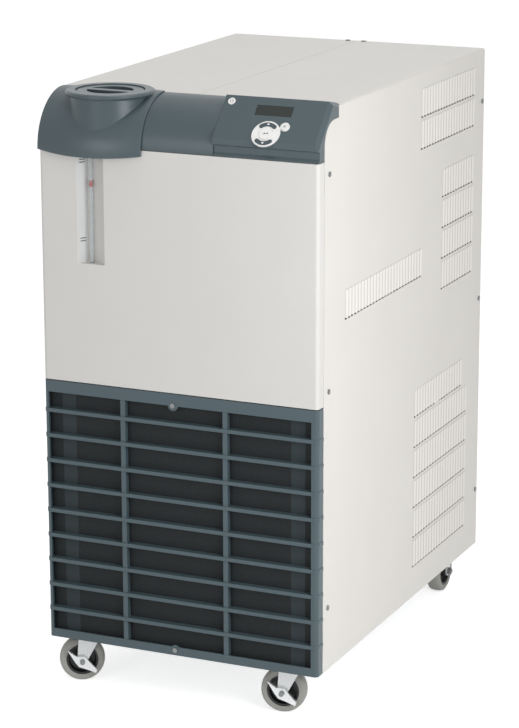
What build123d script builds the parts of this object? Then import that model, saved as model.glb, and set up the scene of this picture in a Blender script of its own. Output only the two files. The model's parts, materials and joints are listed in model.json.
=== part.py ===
from build123d import *
import os
from math import cos, sin, atan2, degrees, hypot, radians

os.makedirs("parts", exist_ok=True)

# Floor-standing recirculating chiller, in millimetres.
# The origin is on the floor under the middle of the case, the front faces -Y and Z is up.

# Sheet-metal case
CASE_W = 478.0
CASE_D = 737.0
CASE_TOP = 987.0
SKIRT_Z = 86.0
SHEET = 1.2
BEND_R = 4.0
SEAT = 0.3
SEAM = 1.5
HALF_W = CASE_W / 2
FRONT_Y = -CASE_D / 2
REAR_Y = CASE_D / 2
INNER_W = HALF_W - SHEET
RETURN = 22.0
SIDE_Y = FRONT_Y + RETURN
SIDE_FLANGE = 11.0

# Moulded band over the front: hood, centre cowl and control housing
BAND_WALL = 3.0
BAND_D = 62.3
BAND_BACK = SIDE_Y + BAND_D
COWL_Z = CASE_TOP - 78.5
COWL_A = BAND_BACK - FRONT_Y
COWL_B = CASE_TOP - COWL_Z
HOOD_RIGHT = -59.0
POD_LEFT = 62.5
NOTCH_Y = BAND_BACK - 6.8
NOTCH_Z = CASE_TOP - 19.7
NOTCH_R = 38.0

# Pressed louvres in the case sides
LOUVRE_PITCH = 12.9
LOUVRE_LEN = 48.0
LOUVRE_ROW = 53.1
LOUVRE_SLOT = 8.6
LOUVRE_RISE = 2.0
LOUVRE_REACH = 8.0
LOUVRE_RELIEF = 3.0
VANE_T = 0.9

# Front panel with the sight channel
GRILLE_TOP = 523.0
PANEL_Z0 = GRILLE_TOP + SEAM
PANEL_Z1 = COWL_Z - 1.0
PANEL_WALL = 2.5
CORNER_R = 6.0
CHANNEL_X0 = -173.0
CHANNEL_W = 47.0
CHANNEL_D = 18.6
CHANNEL_CORNER = 10.5
CHANNEL_Z0 = 720.0

# Front grille
STILE_LEFT = 7.0
STILE_RIGHT = 11.5
TOP_RAIL = 19.5
BOTTOM_RAIL = 14.0
SLATS = 9
SLAT_Z0 = 134.9
SLAT_PITCH = 42.25
SLAT_H = 6.0
SLAT_D = 12.0
SLAT_PROUD = 1.0
RIB_W = 8.0
RIB_X = (-99.0, 80.0)
GRILLE_WALL = 3.0
GRILLE_SCREW_X = -10.0
GRILLE_SCREW_Z = (SKIRT_Z + 8.6, GRILLE_TOP - 19.0)
GRILLE_BOSS_R = 8.5

# Seating pads behind the returns of the grille and the front panel
PAD_W = 2.3
PAD_H = 24.0
GRILLE_PADS_Z = (SKIRT_Z + 60.0, GRILLE_TOP - 60.0)
PANEL_PADS_Z = (PANEL_Z0 + 60.0, PANEL_Z1 - 60.0)

# Chassis
PAN_Z = 98.0
PAN_T = 2.0
PAN_TOP = PAN_Z + PAN_T
PAN_SKIRT = 10.0
POST_LEG = 24.0
POST_T = 2.0
POST_Y = SIDE_Y + SEAM
POST_TOP = PANEL_Z1 - 7.0
FRAME_W = INNER_W - SEAT
SHELF_Z = 628.0
SHELF_T = 2.0
SHELF_BACK = -150.0
RAIL_Z = 522.0
RAIL_H = 28.0
RAIL_FLANGE = 14.0

# Casters
WHEEL_R = 37.5
TYRE_W = 24.0
HUB_R = 26.5
AXLE_R = 4.0
TRAIL = 24.0
CASTER_X = 183.0
CASTER_FRONT_Y = -311.0
CASTER_REAR_Y = 332.0
CASTER_YAW = {"left": 28.0, "right": 12.0}
LEG_GAP = 15.0
LEG_T = 2.5
PLATE_T = 3.0
CROWN_Z = 83.0
CROWN_T = 3.0
RACE_R = 22.0
KINGPIN_R = 5.0

# Reservoir, its cap and the sight tube
NECK_X = -139.0
NECK_Y = BAND_BACK - 30.5
NECK_R = 29.0
NECK_BORE = 25.5
COLLAR_R = 65.0
RIM_R = 71.0
RIM_BORE = 55.0
RIM_TOP = CASE_TOP + 4.0
CAP_R = 54.0
CAP_TOP = RIM_TOP - 1.5
CAP_T = 14.0
TUBE_R = 4.0
TUBE_BORE = 3.1
TUBE_X = CHANNEL_X0 + 19.0
TUBE_Y = FRONT_Y + 11.5
TUBE_Z1 = PANEL_Z1 - 4.0
FLOAT_R = 2.8
FLOAT_H = 9.0
FLOAT_Z = 842.0

# Control housing: a flat face that slopes between its top edge and the crease
FACE_TOP = (BAND_BACK - 32.0, CASE_TOP + 8.1)
CREASE = (FRONT_Y - 2.0, COWL_Z + 27.4)
FACE_SLOPE = degrees(atan2(FACE_TOP[1] - CREASE[1], FACE_TOP[0] - CREASE[0]))
FACE_LEN = hypot(FACE_TOP[1] - CREASE[1], FACE_TOP[0] - CREASE[0])
KEYPAD = (148.5, -66.5)
KEYPAD_R = 22.9
PLATE_KEY_T = 1.8
KEY_TRAVEL = 0.8
SATELLITE = (175.7, -51.6)
SATELLITE_R = 7.6
POWER_KEY = (75.0, -11.5)
POWER_R = 6.0
DISPLAY = (149.5, -23.8)
DISPLAY_SIZE = (61.0, 19.0)

# Refrigeration and pumping, inside the case
COND_X = 8.0
COND_W = 424.0
COND_Y = POST_Y + POST_T + 2.0
COND_D = 50.0
COND_TOP = 514.0
COND_FLANGE = 24.0
FAN_Z = 306.0
FAN_R = 160.0
FAN_BORE = 170.0
SHROUD_Y = COND_Y + COND_D + SEAT
SHROUD_D = 36.0
MOTOR_R = 48.0
MOTOR_L = 80.0
SHAFT_R = 5.0
COMP_X = 130.0
COMP_Y = 200.0
COMP_R = 80.0
COMP_Z0 = 120.0
COMP_Z1 = 400.0
EVAP_X = 20.0
EVAP_Y = 60.0
EVAP_SIZE = (76.0, 70.0, 320.0)
PUMP_X = -150.0
PUMP_Y = 60.0
PUMP_Z = 182.0
PUMP_R = 60.0
VOLUTE_R = 65.0
HOSE_R = 10.0
PORT_Z = 150.0
OUTLET_X = -58.0
INLET_X = 0.0
PORT_BORE = 12.06
POWER_X = 150.0
POWER_Z = 560.0

front = Plane.XZ.offset(-FRONT_Y)
rear = Plane.XZ.offset(-REAR_Y)


def side_outline(y0, corner_gap=0.0):
    """Closed outline of a case side in the YZ plane, with the rounded notch under the moulded band."""
    y_front = y0 - corner_gap
    z_notch = NOTCH_Z + corner_gap
    y_notch = NOTCH_Y - corner_gap
    radius = NOTCH_R + corner_gap
    centre = (y_front + radius, z_notch - radius)
    Line((REAR_Y, SKIRT_Z), (REAR_Y, CASE_TOP))
    Line((REAR_Y, CASE_TOP), (y_notch, CASE_TOP))
    Line((y_notch, CASE_TOP), (y_notch, z_notch))
    Line((y_notch, z_notch), (centre[0], z_notch))
    CenterArc(centre, radius, 90, 90)
    Line((y_front, centre[1]), (y_front, SKIRT_Z))
    Line((y_front, SKIRT_Z), (REAR_Y, SKIRT_Z))


def louvre_rows(last_y, columns, top_z, rows):
    """Places of the louvres in one group: a list of (front edge y, top z)."""
    first_y = last_y - columns * LOUVRE_PITCH
    places = []
    for row in range(rows):
        for column in range(columns):
            places.append((first_y + column * LOUVRE_PITCH, top_z - row * LOUVRE_ROW))
    return places


LOUVRES_UPPER = louvre_rows(REAR_Y - 48.0, 20, CASE_TOP - 27.5, 2)
LOUVRES_MIDDLE = louvre_rows(REAR_Y - 48.0, 12, CASE_TOP - 179.0, 4)
LOUVRES_FRONT = louvre_rows(SIDE_Y + 419.5, 26, CASE_TOP - 295.5, 1)
LOUVRES_LOWER = louvre_rows(REAR_Y - 65.0, 20, SKIRT_Z + 313.0, 5)
LOUVRES_LOWER_TOP = louvre_rows(REAR_Y - 65.0 - 2 * LOUVRE_PITCH, 18, SKIRT_Z + 313.0 + LOUVRE_ROW, 1)
SIDE_LOUVRES = {
    1: LOUVRES_UPPER + LOUVRES_MIDDLE + LOUVRES_FRONT + LOUVRES_LOWER_TOP + LOUVRES_LOWER,
    -1: LOUVRES_UPPER + louvre_rows(REAR_Y - 65.0, 20, SKIRT_Z + 313.0 - LOUVRE_ROW, 3),
}
SIDE_SCREWS = [
    (SIDE_Y + 18.5, 886.0),
    (SIDE_Y + 18.5, 544.0),
    (SIDE_Y + 18.5, 190.0),
    (REAR_Y - 9.5, 896.0),
    (REAR_Y - 9.5, 544.0),
    (REAR_Y - 9.5, 190.0),
]
TOP_SCREWS_X = 15.0
SCREW_R = 1.9
SCREW_HEAD_R = 4.2
SCREW_HEAD_H = 1.6


def case_wrapper(hand):
    """Case side and half of the top as one bent sheet; hand is 1 for the right side and -1 for the left."""
    outer = Plane.YZ.offset(hand * HALF_W)
    with BuildPart() as vanes:
        for row_z in sorted({z for y, z in SIDE_LOUVRES[hand]}):
            with BuildSketch(Plane.XY.offset(row_z)):
                with Locations(*[(hand * HALF_W, y) for y, z in SIDE_LOUVRES[hand] if z == row_z]):
                    Polygon(
                        (0, 0),
                        (hand * LOUVRE_RISE, LOUVRE_REACH),
                        (hand * (LOUVRE_RISE - VANE_T), LOUVRE_REACH),
                        (-hand * VANE_T, 0),
                        align=None,
                    )
            extrude(amount=-(LOUVRE_LEN - LOUVRE_RELIEF))
    with BuildPart() as wrapper:
        with BuildSketch(Plane.YZ.offset(hand * INNER_W)):
            with BuildLine():
                side_outline(SIDE_Y)
            make_face()
        extrude(amount=hand * SHEET)
        with BuildSketch(Plane.XY.offset(CASE_TOP - SHEET)):
            with Locations((hand * (HALF_W + SEAT) / 2, (BAND_BACK + SEAT + REAR_Y) / 2)):
                Rectangle(HALF_W - SEAT, REAR_Y - BAND_BACK - SEAT)
        extrude(amount=SHEET)
        ridge = wrapper.edges().filter_by(Axis.Y).group_by(Axis.Z)[-1]
        ridge = ridge.sort_by(Axis.X)[-1 if hand > 0 else 0]
        fillet(ridge, BEND_R)
        with BuildSketch(Plane.XZ.offset(-SIDE_Y)):
            with Locations((hand * (INNER_W - SIDE_FLANGE / 2), (SKIRT_Z + POST_TOP) / 2)):
                Rectangle(SIDE_FLANGE, POST_TOP - SKIRT_Z)
        extrude(amount=-SHEET)
        with BuildSketch(outer):
            with Locations(*[(y + LOUVRE_SLOT / 2, z - LOUVRE_LEN / 2) for y, z in SIDE_LOUVRES[hand]]):
                Rectangle(LOUVRE_SLOT, LOUVRE_LEN)
            with Locations(*SIDE_SCREWS):
                Circle(SCREW_R + SEAT)
        extrude(amount=-hand * SHEET, mode=Mode.SUBTRACT)
        add(vanes.part)
        with BuildSketch(Plane.XY.offset(CASE_TOP)):
            with Locations((hand * TOP_SCREWS_X, REAR_Y - 6.5)):
                Circle(SCREW_R + SEAT)
            if hand < 0:
                with Locations((NECK_X, NECK_Y)):
                    Circle(RIM_R + SEAM)
        extrude(amount=-SHEET, mode=Mode.SUBTRACT)
    return wrapper


case_side_right = case_wrapper(1)
case_side_right.part.label = "case_side_right"
export_step(case_side_right.part, "parts/case_side_right.step")

case_side_left = case_wrapper(-1)
case_side_left.part.label = "case_side_left"
export_step(case_side_left.part, "parts/case_side_left.step")

# Rear panel: a tray whose flanges lie inside the case, with exhaust slots and the service fittings
REAR_FLANGE = 15.0
REAR_BOTTOM = SKIRT_Z + 2.0
EXHAUST_COLUMNS = 2
EXHAUST_ROWS = 9
EXHAUST_PITCH = 22.0
EXHAUST_SLOT = (150.0, 8.0)
EXHAUST_Z = 300.0
BREAKER_X = POWER_X - 62.0
INLET_CUT = (28.0, 48.0)
BREAKER_CUT = (14.0, 30.0)
with BuildPart() as rear_panel:
    with BuildSketch(rear):
        with Locations((0, (REAR_BOTTOM + CASE_TOP - SHEET - SEAT) / 2)):
            Rectangle(2 * FRAME_W, CASE_TOP - SHEET - SEAT - REAR_BOTTOM)
    extrude(amount=SHEET)
    with BuildSketch(rear.offset(SHEET)):
        with Locations((0, (PAN_TOP + SEAT + CASE_TOP - SHEET - SEAT) / 2)):
            Rectangle(2 * FRAME_W, CASE_TOP - SHEET - 2 * SEAT - PAN_TOP)
        with Locations((0, (PAN_TOP + SEAT - SHEET + CASE_TOP - 2 * SHEET - SEAT) / 2)):
            Rectangle(
                2 * (FRAME_W - SHEET), CASE_TOP - SHEET - 2 * SEAT - PAN_TOP, mode=Mode.SUBTRACT
            )
    extrude(amount=REAR_FLANGE)
    with BuildSketch(rear):
        with Locations((0, EXHAUST_Z + (EXHAUST_ROWS - 1) * EXHAUST_PITCH / 2)):
            with GridLocations(EXHAUST_SLOT[0] + 30, EXHAUST_PITCH, EXHAUST_COLUMNS, EXHAUST_ROWS):
                SlotOverall(*EXHAUST_SLOT)
        with Locations((OUTLET_X, PORT_Z), (INLET_X, PORT_Z)):
            Circle(15.0 + SEAT)
        with Locations((POWER_X, POWER_Z)):
            Rectangle(INLET_CUT[0], INLET_CUT[1])
        with Locations((BREAKER_X, POWER_Z)):
            Rectangle(BREAKER_CUT[0], BREAKER_CUT[1])
    extrude(amount=SHEET, mode=Mode.SUBTRACT)
    for hand in (-1, 1):
        with BuildSketch(Plane.YZ.offset(hand * FRAME_W)):
            with Locations(*SIDE_SCREWS[3:]):
                Circle(SCREW_R + 0.06)
        extrude(amount=-hand * SHEET, mode=Mode.SUBTRACT)
    with BuildSketch(Plane.XY.offset(CASE_TOP - SHEET - SEAT)):
        with Locations((-TOP_SCREWS_X, REAR_Y - 6.5), (TOP_SCREWS_X, REAR_Y - 6.5)):
            Circle(SCREW_R + 0.06)
    extrude(amount=-SHEET, mode=Mode.SUBTRACT)
rear_panel.part.label = "rear_panel"
export_step(rear_panel.part, "parts/rear_panel.step")

# Base pan with a turned-down edge, and the two front posts that stand on it
PAN_BACK = REAR_Y - SHEET - SEAT
with BuildPart() as base_pan:
    with BuildSketch(Plane.XY.offset(PAN_TOP)):
        with Locations((0, (POST_Y + PAN_BACK) / 2)):
            Rectangle(2 * FRAME_W, PAN_BACK - POST_Y)
    extrude(amount=-PAN_T - PAN_SKIRT)
    with BuildSketch(Plane.XY.offset(PAN_Z)):
        with Locations((0, (POST_Y + PAN_BACK) / 2)):
            Rectangle(2 * (FRAME_W - PAN_T), PAN_BACK - POST_Y - 2 * PAN_T)
    extrude(amount=-PAN_SKIRT, mode=Mode.SUBTRACT)
base_pan.part.label = "base_pan"
export_step(base_pan.part, "parts/base_pan.step")

for side, hand in (("left", -1), ("right", 1)):
    with BuildPart() as frame_post:
        with BuildSketch(Plane.XY.offset(PAN_TOP)):
            with Locations((hand * (FRAME_W - POST_LEG / 2), POST_Y + POST_T / 2)):
                Rectangle(POST_LEG, POST_T)
            with Locations((hand * (FRAME_W - POST_T / 2), POST_Y + POST_LEG / 2)):
                Rectangle(POST_T, POST_LEG)
        extrude(amount=POST_TOP - PAN_TOP)
        with BuildSketch(Plane.YZ.offset(hand * FRAME_W)):
            with Locations(*SIDE_SCREWS[:3]):
                Circle(SCREW_R + 0.06)
        extrude(amount=-hand * POST_T, mode=Mode.SUBTRACT)
    frame_post.part.label = f"frame_post_{side}"
    export_step(frame_post.part, f"parts/frame_post_{side}.step")

RAIL_Y = POST_Y + POST_T + SEAT
with BuildPart() as mid_rail:
    with BuildSketch(Plane.XY.offset(RAIL_Z)):
        with Locations((0, RAIL_Y + SHEET / 2)):
            Rectangle(2 * (FRAME_W - POST_T - SEAT), SHEET)
    extrude(amount=RAIL_H)
    with BuildSketch(Plane.XY.offset(RAIL_Z + RAIL_H)):
        with Locations((0, RAIL_Y + RAIL_FLANGE / 2)):
            Rectangle(2 * (FRAME_W - POST_T - SEAT), RAIL_FLANGE)
    extrude(amount=SHEET)
mid_rail.part.label = "mid_rail"
export_step(mid_rail.part, "parts/mid_rail.step")

SHELF_FRONT = POST_Y + POST_LEG + SEAT
with BuildPart() as tank_shelf:
    with BuildSketch(Plane.XY.offset(SHELF_Z)):
        with Locations((0, (SHELF_FRONT + SHELF_BACK) / 2)):
            Rectangle(2 * FRAME_W, SHELF_BACK - SHELF_FRONT)
        with Locations((0, (RAIL_Y + SHELF_FRONT) / 2)):
            Rectangle(2 * (FRAME_W - POST_LEG), SHELF_FRONT - RAIL_Y)
    extrude(amount=SHELF_T)
    with BuildSketch(Plane.XY.offset(SHELF_Z)):
        with Locations((0, SHELF_BACK - SHELF_T / 2)):
            Rectangle(2 * FRAME_W, SHELF_T)
    extrude(amount=-18.0)
tank_shelf.part.label = "tank_shelf"
export_step(tank_shelf.part, "parts/tank_shelf.step")

# Front panel: a moulded cover with side returns and a sunk channel for the sight tube
CHANNEL_X1 = CHANNEL_X0 + CHANNEL_W
CHANNEL_DEEP_X = CHANNEL_X0 + CHANNEL_CORNER


with BuildPart() as front_panel:
    with BuildSketch(Plane.XY.offset(PANEL_Z0)):
        with Locations((0, FRONT_Y + (RETURN - SEAM) / 2)):
            Rectangle(CASE_W, RETURN - SEAM)
    extrude(amount=PANEL_Z1 - PANEL_Z0)
    fillet(front_panel.edges().filter_by(Axis.Z).group_by(Axis.Y)[0], CORNER_R)
    with BuildSketch(Plane.XY.offset(PANEL_Z0 + PANEL_WALL)):
        with Locations((0, FRONT_Y + PANEL_WALL + RETURN / 2)):
            Rectangle(CASE_W - 2 * PANEL_WALL, RETURN)
    extrude(amount=PANEL_Z1 - PANEL_Z0 - 2 * PANEL_WALL, mode=Mode.SUBTRACT)
    with BuildSketch(Plane.XY.offset(CHANNEL_Z0 - PANEL_WALL)):
        with BuildLine():
            deep_y = FRONT_Y + CHANNEL_D + PANEL_WALL
            Polyline(
                (CHANNEL_X0 - PANEL_WALL, FRONT_Y),
                (CHANNEL_X0 - PANEL_WALL, FRONT_Y + 3),
                (CHANNEL_DEEP_X - PANEL_WALL, deep_y),
                (CHANNEL_DEEP_X + 14, deep_y),
                (CHANNEL_X1 + 5, FRONT_Y + 3),
                (CHANNEL_X1 + 5, FRONT_Y),
                close=True,
            )
        make_face()
    extrude(amount=PANEL_Z1 - CHANNEL_Z0 + PANEL_WALL)
    with BuildSketch(Plane.XY.offset(CHANNEL_Z0)):
        with BuildLine():
            deep = (CHANNEL_DEEP_X, FRONT_Y + CHANNEL_D)
            Polyline((CHANNEL_X1, FRONT_Y), (CHANNEL_X1, FRONT_Y - 1), (CHANNEL_X0, FRONT_Y - 1), (CHANNEL_X0, FRONT_Y), deep)
            ThreePointArc(deep, (CHANNEL_X0 + 0.57 * CHANNEL_W, FRONT_Y + 0.72 * CHANNEL_D), (CHANNEL_X1, FRONT_Y))
        make_face()
    extrude(amount=PANEL_Z1 - CHANNEL_Z0 + 1, mode=Mode.SUBTRACT)
    with BuildSketch(Plane.XY.offset(CHANNEL_Z0)):
        with Locations((TUBE_X, TUBE_Y)):
            Circle(TUBE_R + SEAT)
    extrude(amount=-PANEL_WALL, mode=Mode.SUBTRACT)
    with BuildSketch(Plane.XZ.offset(-SIDE_Y + SEAT)):
        for hand in (-1, 1):
            with Locations(*[(hand * (HALF_W - PAD_W / 2 - 0.2), z) for z in PANEL_PADS_Z]):
                Rectangle(PAD_W, PAD_H)
    extrude(amount=SEAM - SEAT + 2.0)
front_panel.part.label = "front_panel"
export_step(front_panel.part, "parts/front_panel.step")

# Front grille: one moulded frame with wrap-round slats, two ribs and two screw bosses
GRILLE_WINDOW = (-HALF_W + STILE_LEFT, HALF_W - STILE_RIGHT, SKIRT_Z + BOTTOM_RAIL, GRILLE_TOP - TOP_RAIL)
with BuildPart() as grille:
    with BuildSketch(Plane.XY.offset(SKIRT_Z)):
        with Locations((0, FRONT_Y + (RETURN - SEAM) / 2)):
            Rectangle(CASE_W, RETURN - SEAM)
    extrude(amount=GRILLE_TOP - SKIRT_Z)
    fillet(grille.edges().filter_by(Axis.Z).group_by(Axis.Y)[0], CORNER_R)
    with BuildSketch(Plane.XY.offset(SKIRT_Z + GRILLE_WALL)):
        with Locations((0, FRONT_Y + GRILLE_WALL + RETURN / 2)):
            Rectangle(CASE_W - 2 * GRILLE_WALL, RETURN)
    extrude(amount=GRILLE_TOP - SKIRT_Z - 2 * GRILLE_WALL, mode=Mode.SUBTRACT)
    with BuildSketch(front):
        x0, x1, z0, z1 = GRILLE_WINDOW
        with Locations(((x0 + x1) / 2, (z0 + z1) / 2)):
            Rectangle(x1 - x0, z1 - z0)
        with Locations((GRILLE_SCREW_X, GRILLE_SCREW_Z[0]), (GRILLE_SCREW_X, GRILLE_SCREW_Z[1])):
            Circle(GRILLE_BOSS_R, mode=Mode.SUBTRACT)
    extrude(amount=-GRILLE_WALL, mode=Mode.SUBTRACT)
    for slat in range(SLATS):
        with BuildSketch(Plane.XY.offset(SLAT_Z0 + slat * SLAT_PITCH - SLAT_H / 2)):
            with Locations((0, FRONT_Y + (RETURN - SEAM - SLAT_PROUD) / 2)):
                slat_edge = Rectangle(CASE_W + 2 * SLAT_PROUD, RETURN - SEAM + SLAT_PROUD)
            fillet(slat_edge.vertices().group_by(Axis.Y)[0], CORNER_R + SLAT_PROUD)
            with Locations((0, FRONT_Y + SLAT_D + RETURN / 2)):
                Rectangle(CASE_W - 2 * GRILLE_WALL, RETURN, mode=Mode.SUBTRACT)
        extrude(amount=SLAT_H)
    with BuildSketch(Plane.XZ.offset(-FRONT_Y - SLAT_D + 1.0)):
        with Locations(*[(x, (GRILLE_WINDOW[2] + GRILLE_WINDOW[3]) / 2) for x in RIB_X]):
            Rectangle(RIB_W, GRILLE_WINDOW[3] - GRILLE_WINDOW[2] + 2.0)
    extrude(amount=SLAT_D - 2.0)
    with BuildSketch(front):
        with Locations((GRILLE_SCREW_X, GRILLE_SCREW_Z[0]), (GRILLE_SCREW_X, GRILLE_SCREW_Z[1])):
            Circle(SCREW_R + SEAT)
    extrude(amount=-GRILLE_WALL, mode=Mode.SUBTRACT)
    with BuildSketch(Plane.XZ.offset(-SIDE_Y + SEAT)):
        for hand in (-1, 1):
            with Locations(*[(hand * (HALF_W - PAD_W / 2 - 0.2), z) for z in GRILLE_PADS_Z]):
                Rectangle(PAD_W, PAD_H)
    extrude(amount=SEAM - SEAT + 2.0)
grille.part.label = "grille"
export_step(grille.part, "parts/grille.step")

# Air filter behind the slats: a rim round a thin screen
FILTER_Y = FRONT_Y + SLAT_D + SEAT
FILTER_T = 6.0
FILTER_RIM = 9.0
FILTER_W = CASE_W - 2 * GRILLE_WALL - 4.0
FILTER_Z = (SKIRT_Z + 5.0, GRILLE_TOP - 5.0)
with BuildPart() as air_filter:
    with BuildSketch(Plane.XZ.offset(-FILTER_Y)):
        with Locations((0, (FILTER_Z[0] + FILTER_Z[1]) / 2)):
            Rectangle(FILTER_W, FILTER_Z[1] - FILTER_Z[0])
    extrude(amount=-FILTER_T)
    with BuildSketch(Plane.XZ.offset(-FILTER_Y - 1.5)):
        with Locations((0, (FILTER_Z[0] + FILTER_Z[1]) / 2)):
            Rectangle(FILTER_W - 2 * FILTER_RIM, FILTER_Z[1] - FILTER_Z[0] - 2 * FILTER_RIM)
    extrude(amount=-FILTER_T, mode=Mode.SUBTRACT)
air_filter.part.label = "air_filter"
export_step(air_filter.part, "parts/air_filter.step")

# Centre cowl: a quarter-round strip between the hood and the control housing
with BuildPart() as centre_cowl:
    with BuildSketch(Plane.YZ.offset(HOOD_RIGHT + SEAT)):
        with BuildLine():
            outer_arc = EllipticalCenterArc((BAND_BACK, COWL_Z), COWL_A, COWL_B, 90, arc_size=90)
            inner_arc = EllipticalCenterArc(
                (BAND_BACK, COWL_Z), COWL_A - BAND_WALL, COWL_B - BAND_WALL, 90, arc_size=90
            )
            Line(outer_arc @ 0, inner_arc @ 0)
            Line(outer_arc @ 1, inner_arc @ 1)
        make_face()
    extrude(amount=POD_LEFT - HOOD_RIGHT - 2 * SEAT)
centre_cowl.part.label = "centre_cowl"
export_step(centre_cowl.part, "parts/centre_cowl.step")

# Reservoir hood: lofted shell that bows forward round the filler collar
HOOD_Z = COWL_Z - 9.8
HOOD_DIP = 5.5
HOOD_MID = (-HALF_W + HOOD_RIGHT) / 2
HOOD_SECTIONS = ((-HALF_W, 5.0, 0.0), (HOOD_MID, 21.0, 2.0), (HOOD_RIGHT, 6.0, 2.0))
HOOD_B = CASE_TOP - HOOD_Z


def hood_outline(bow, rise, inset, reach):
    """Closed outline of one upright hood section: a lip, a quarter ellipse and a square back."""
    a = COWL_A + bow - inset
    b = HOOD_B + rise - inset
    low = HOOD_Z - HOOD_DIP - reach
    arc = EllipticalCenterArc((BAND_BACK, HOOD_Z), a, b, 90, arc_size=90)
    back = (BAND_BACK + reach, HOOD_Z + b)
    Polyline(arc @ 0, back, (back[0], low), (BAND_BACK - a, low), arc @ 1)


with BuildPart() as reservoir_hood:
    for x, bow, rise in HOOD_SECTIONS:
        with BuildSketch(Plane.YZ.offset(x)):
            with BuildLine():
                hood_outline(bow, rise, 0.0, 0.001)
            make_face()
    loft()
    for x, bow, rise in HOOD_SECTIONS:
        inward = BAND_WALL if x < HOOD_MID else (-BAND_WALL if x > HOOD_MID else 0.0)
        with BuildSketch(Plane.YZ.offset(x + inward)):
            with BuildLine():
                hood_outline(bow, rise, BAND_WALL, 5.0)
            make_face()
    loft(mode=Mode.SUBTRACT)
    # lower lip: an arc that dips in the middle
    with BuildSketch(Plane.XZ.offset(-BAND_BACK)):
        with BuildLine():
            lip = ThreePointArc((-HALF_W - 1, HOOD_Z), (HOOD_MID, HOOD_Z - HOOD_DIP), (HOOD_RIGHT + 1, HOOD_Z))
            Polyline(lip @ 1, (HOOD_RIGHT + 1, HOOD_Z - 30), (-HALF_W - 1, HOOD_Z - 30), lip @ 0)
        make_face()
    extrude(amount=COWL_A + 40, mode=Mode.SUBTRACT)
    # room for the front panel behind the lip
    with BuildSketch(Plane.YZ.offset(-HALF_W - 1)):
        with Locations(((FRONT_Y - 0.7 + BAND_BACK + 5) / 2, COWL_Z - 20)):
            Rectangle(BAND_BACK + 5 - FRONT_Y + 0.7, 40.0)
    extrude(amount=HOOD_RIGHT + HALF_W + 2, mode=Mode.SUBTRACT)
    # room for the rounded corner of the case side
    with BuildSketch(Plane.YZ.offset(-HALF_W - 1)):
        with BuildLine():
            side_outline(SIDE_Y, 0.5)
        make_face()
    extrude(amount=SHEET + SEAT + 1, mode=Mode.SUBTRACT)
    with BuildSketch(Plane.XY.offset(HOOD_Z)):
        with Locations((NECK_X, NECK_Y)):
            Circle(COLLAR_R - 1)
    extrude(amount=RIM_TOP - HOOD_Z + 5, mode=Mode.SUBTRACT)
    # filler collar with its rolled rim
    with BuildSketch(Plane(origin=(NECK_X, NECK_Y, 0), x_dir=(1, 0, 0), z_dir=(0, -1, 0))):
        with BuildLine():
            Polyline(
                (COLLAR_R - BAND_WALL, COWL_Z + 1),
                (COLLAR_R, COWL_Z + 1),
                (COLLAR_R, RIM_TOP - 9),
                (RIM_R - 2, RIM_TOP - 7),
                (RIM_R, RIM_TOP - 4.5),
                (RIM_R - 0.8, RIM_TOP - 1.6),
                (RIM_R - 3.5, RIM_TOP),
                (RIM_BORE, RIM_TOP),
                (RIM_BORE, RIM_TOP - 3),
                (COLLAR_R - BAND_WALL, RIM_TOP - 5),
                close=True,
            )
        make_face()
    revolve(axis=Axis((NECK_X, NECK_Y, 0), (0, 0, 1)))
reservoir_hood.part.label = "reservoir_hood"
export_step(reservoir_hood.part, "parts/reservoir_hood.step")

# Control housing: sloped face over a lip, a sunk band and the bevelled right end
face_plane = Plane(
    origin=(0, FACE_TOP[0], FACE_TOP[1]),
    x_dir=(1, 0, 0),
    z_dir=(0, -sin(radians(FACE_SLOPE)), cos(radians(FACE_SLOPE))),
)
POD_BEVEL = 6.0
LIP_H = 9.0
BAND_SINK = 5.5
pod_profile = [
    (BAND_BACK, CASE_TOP + 1.5),
    FACE_TOP,
    CREASE,
    (CREASE[0], CREASE[1] - LIP_H),
    (CREASE[0] + BAND_SINK, CREASE[1] - LIP_H - 2.5),
    (CREASE[0] + BAND_SINK, COWL_Z + 6.0),
    (FRONT_Y - 0.5, COWL_Z + 1.0),
    (FRONT_Y - 0.5, COWL_Z),
    (BAND_BACK, COWL_Z),
]
pod_room = [
    (BAND_BACK + 5, CASE_TOP + 1.5 - BAND_WALL),
    (FACE_TOP[0] + 1.5, FACE_TOP[1] - BAND_WALL - 0.5),
    (CREASE[0] + 4.0, CREASE[1] - 1.5),
    (CREASE[0] + 4.0, CREASE[1] - LIP_H),
    (CREASE[0] + BAND_SINK + BAND_WALL, CREASE[1] - LIP_H - 4.0),
    (CREASE[0] + BAND_SINK + BAND_WALL, COWL_Z - 1),
    (BAND_BACK + 5, COWL_Z - 1),
]
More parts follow.
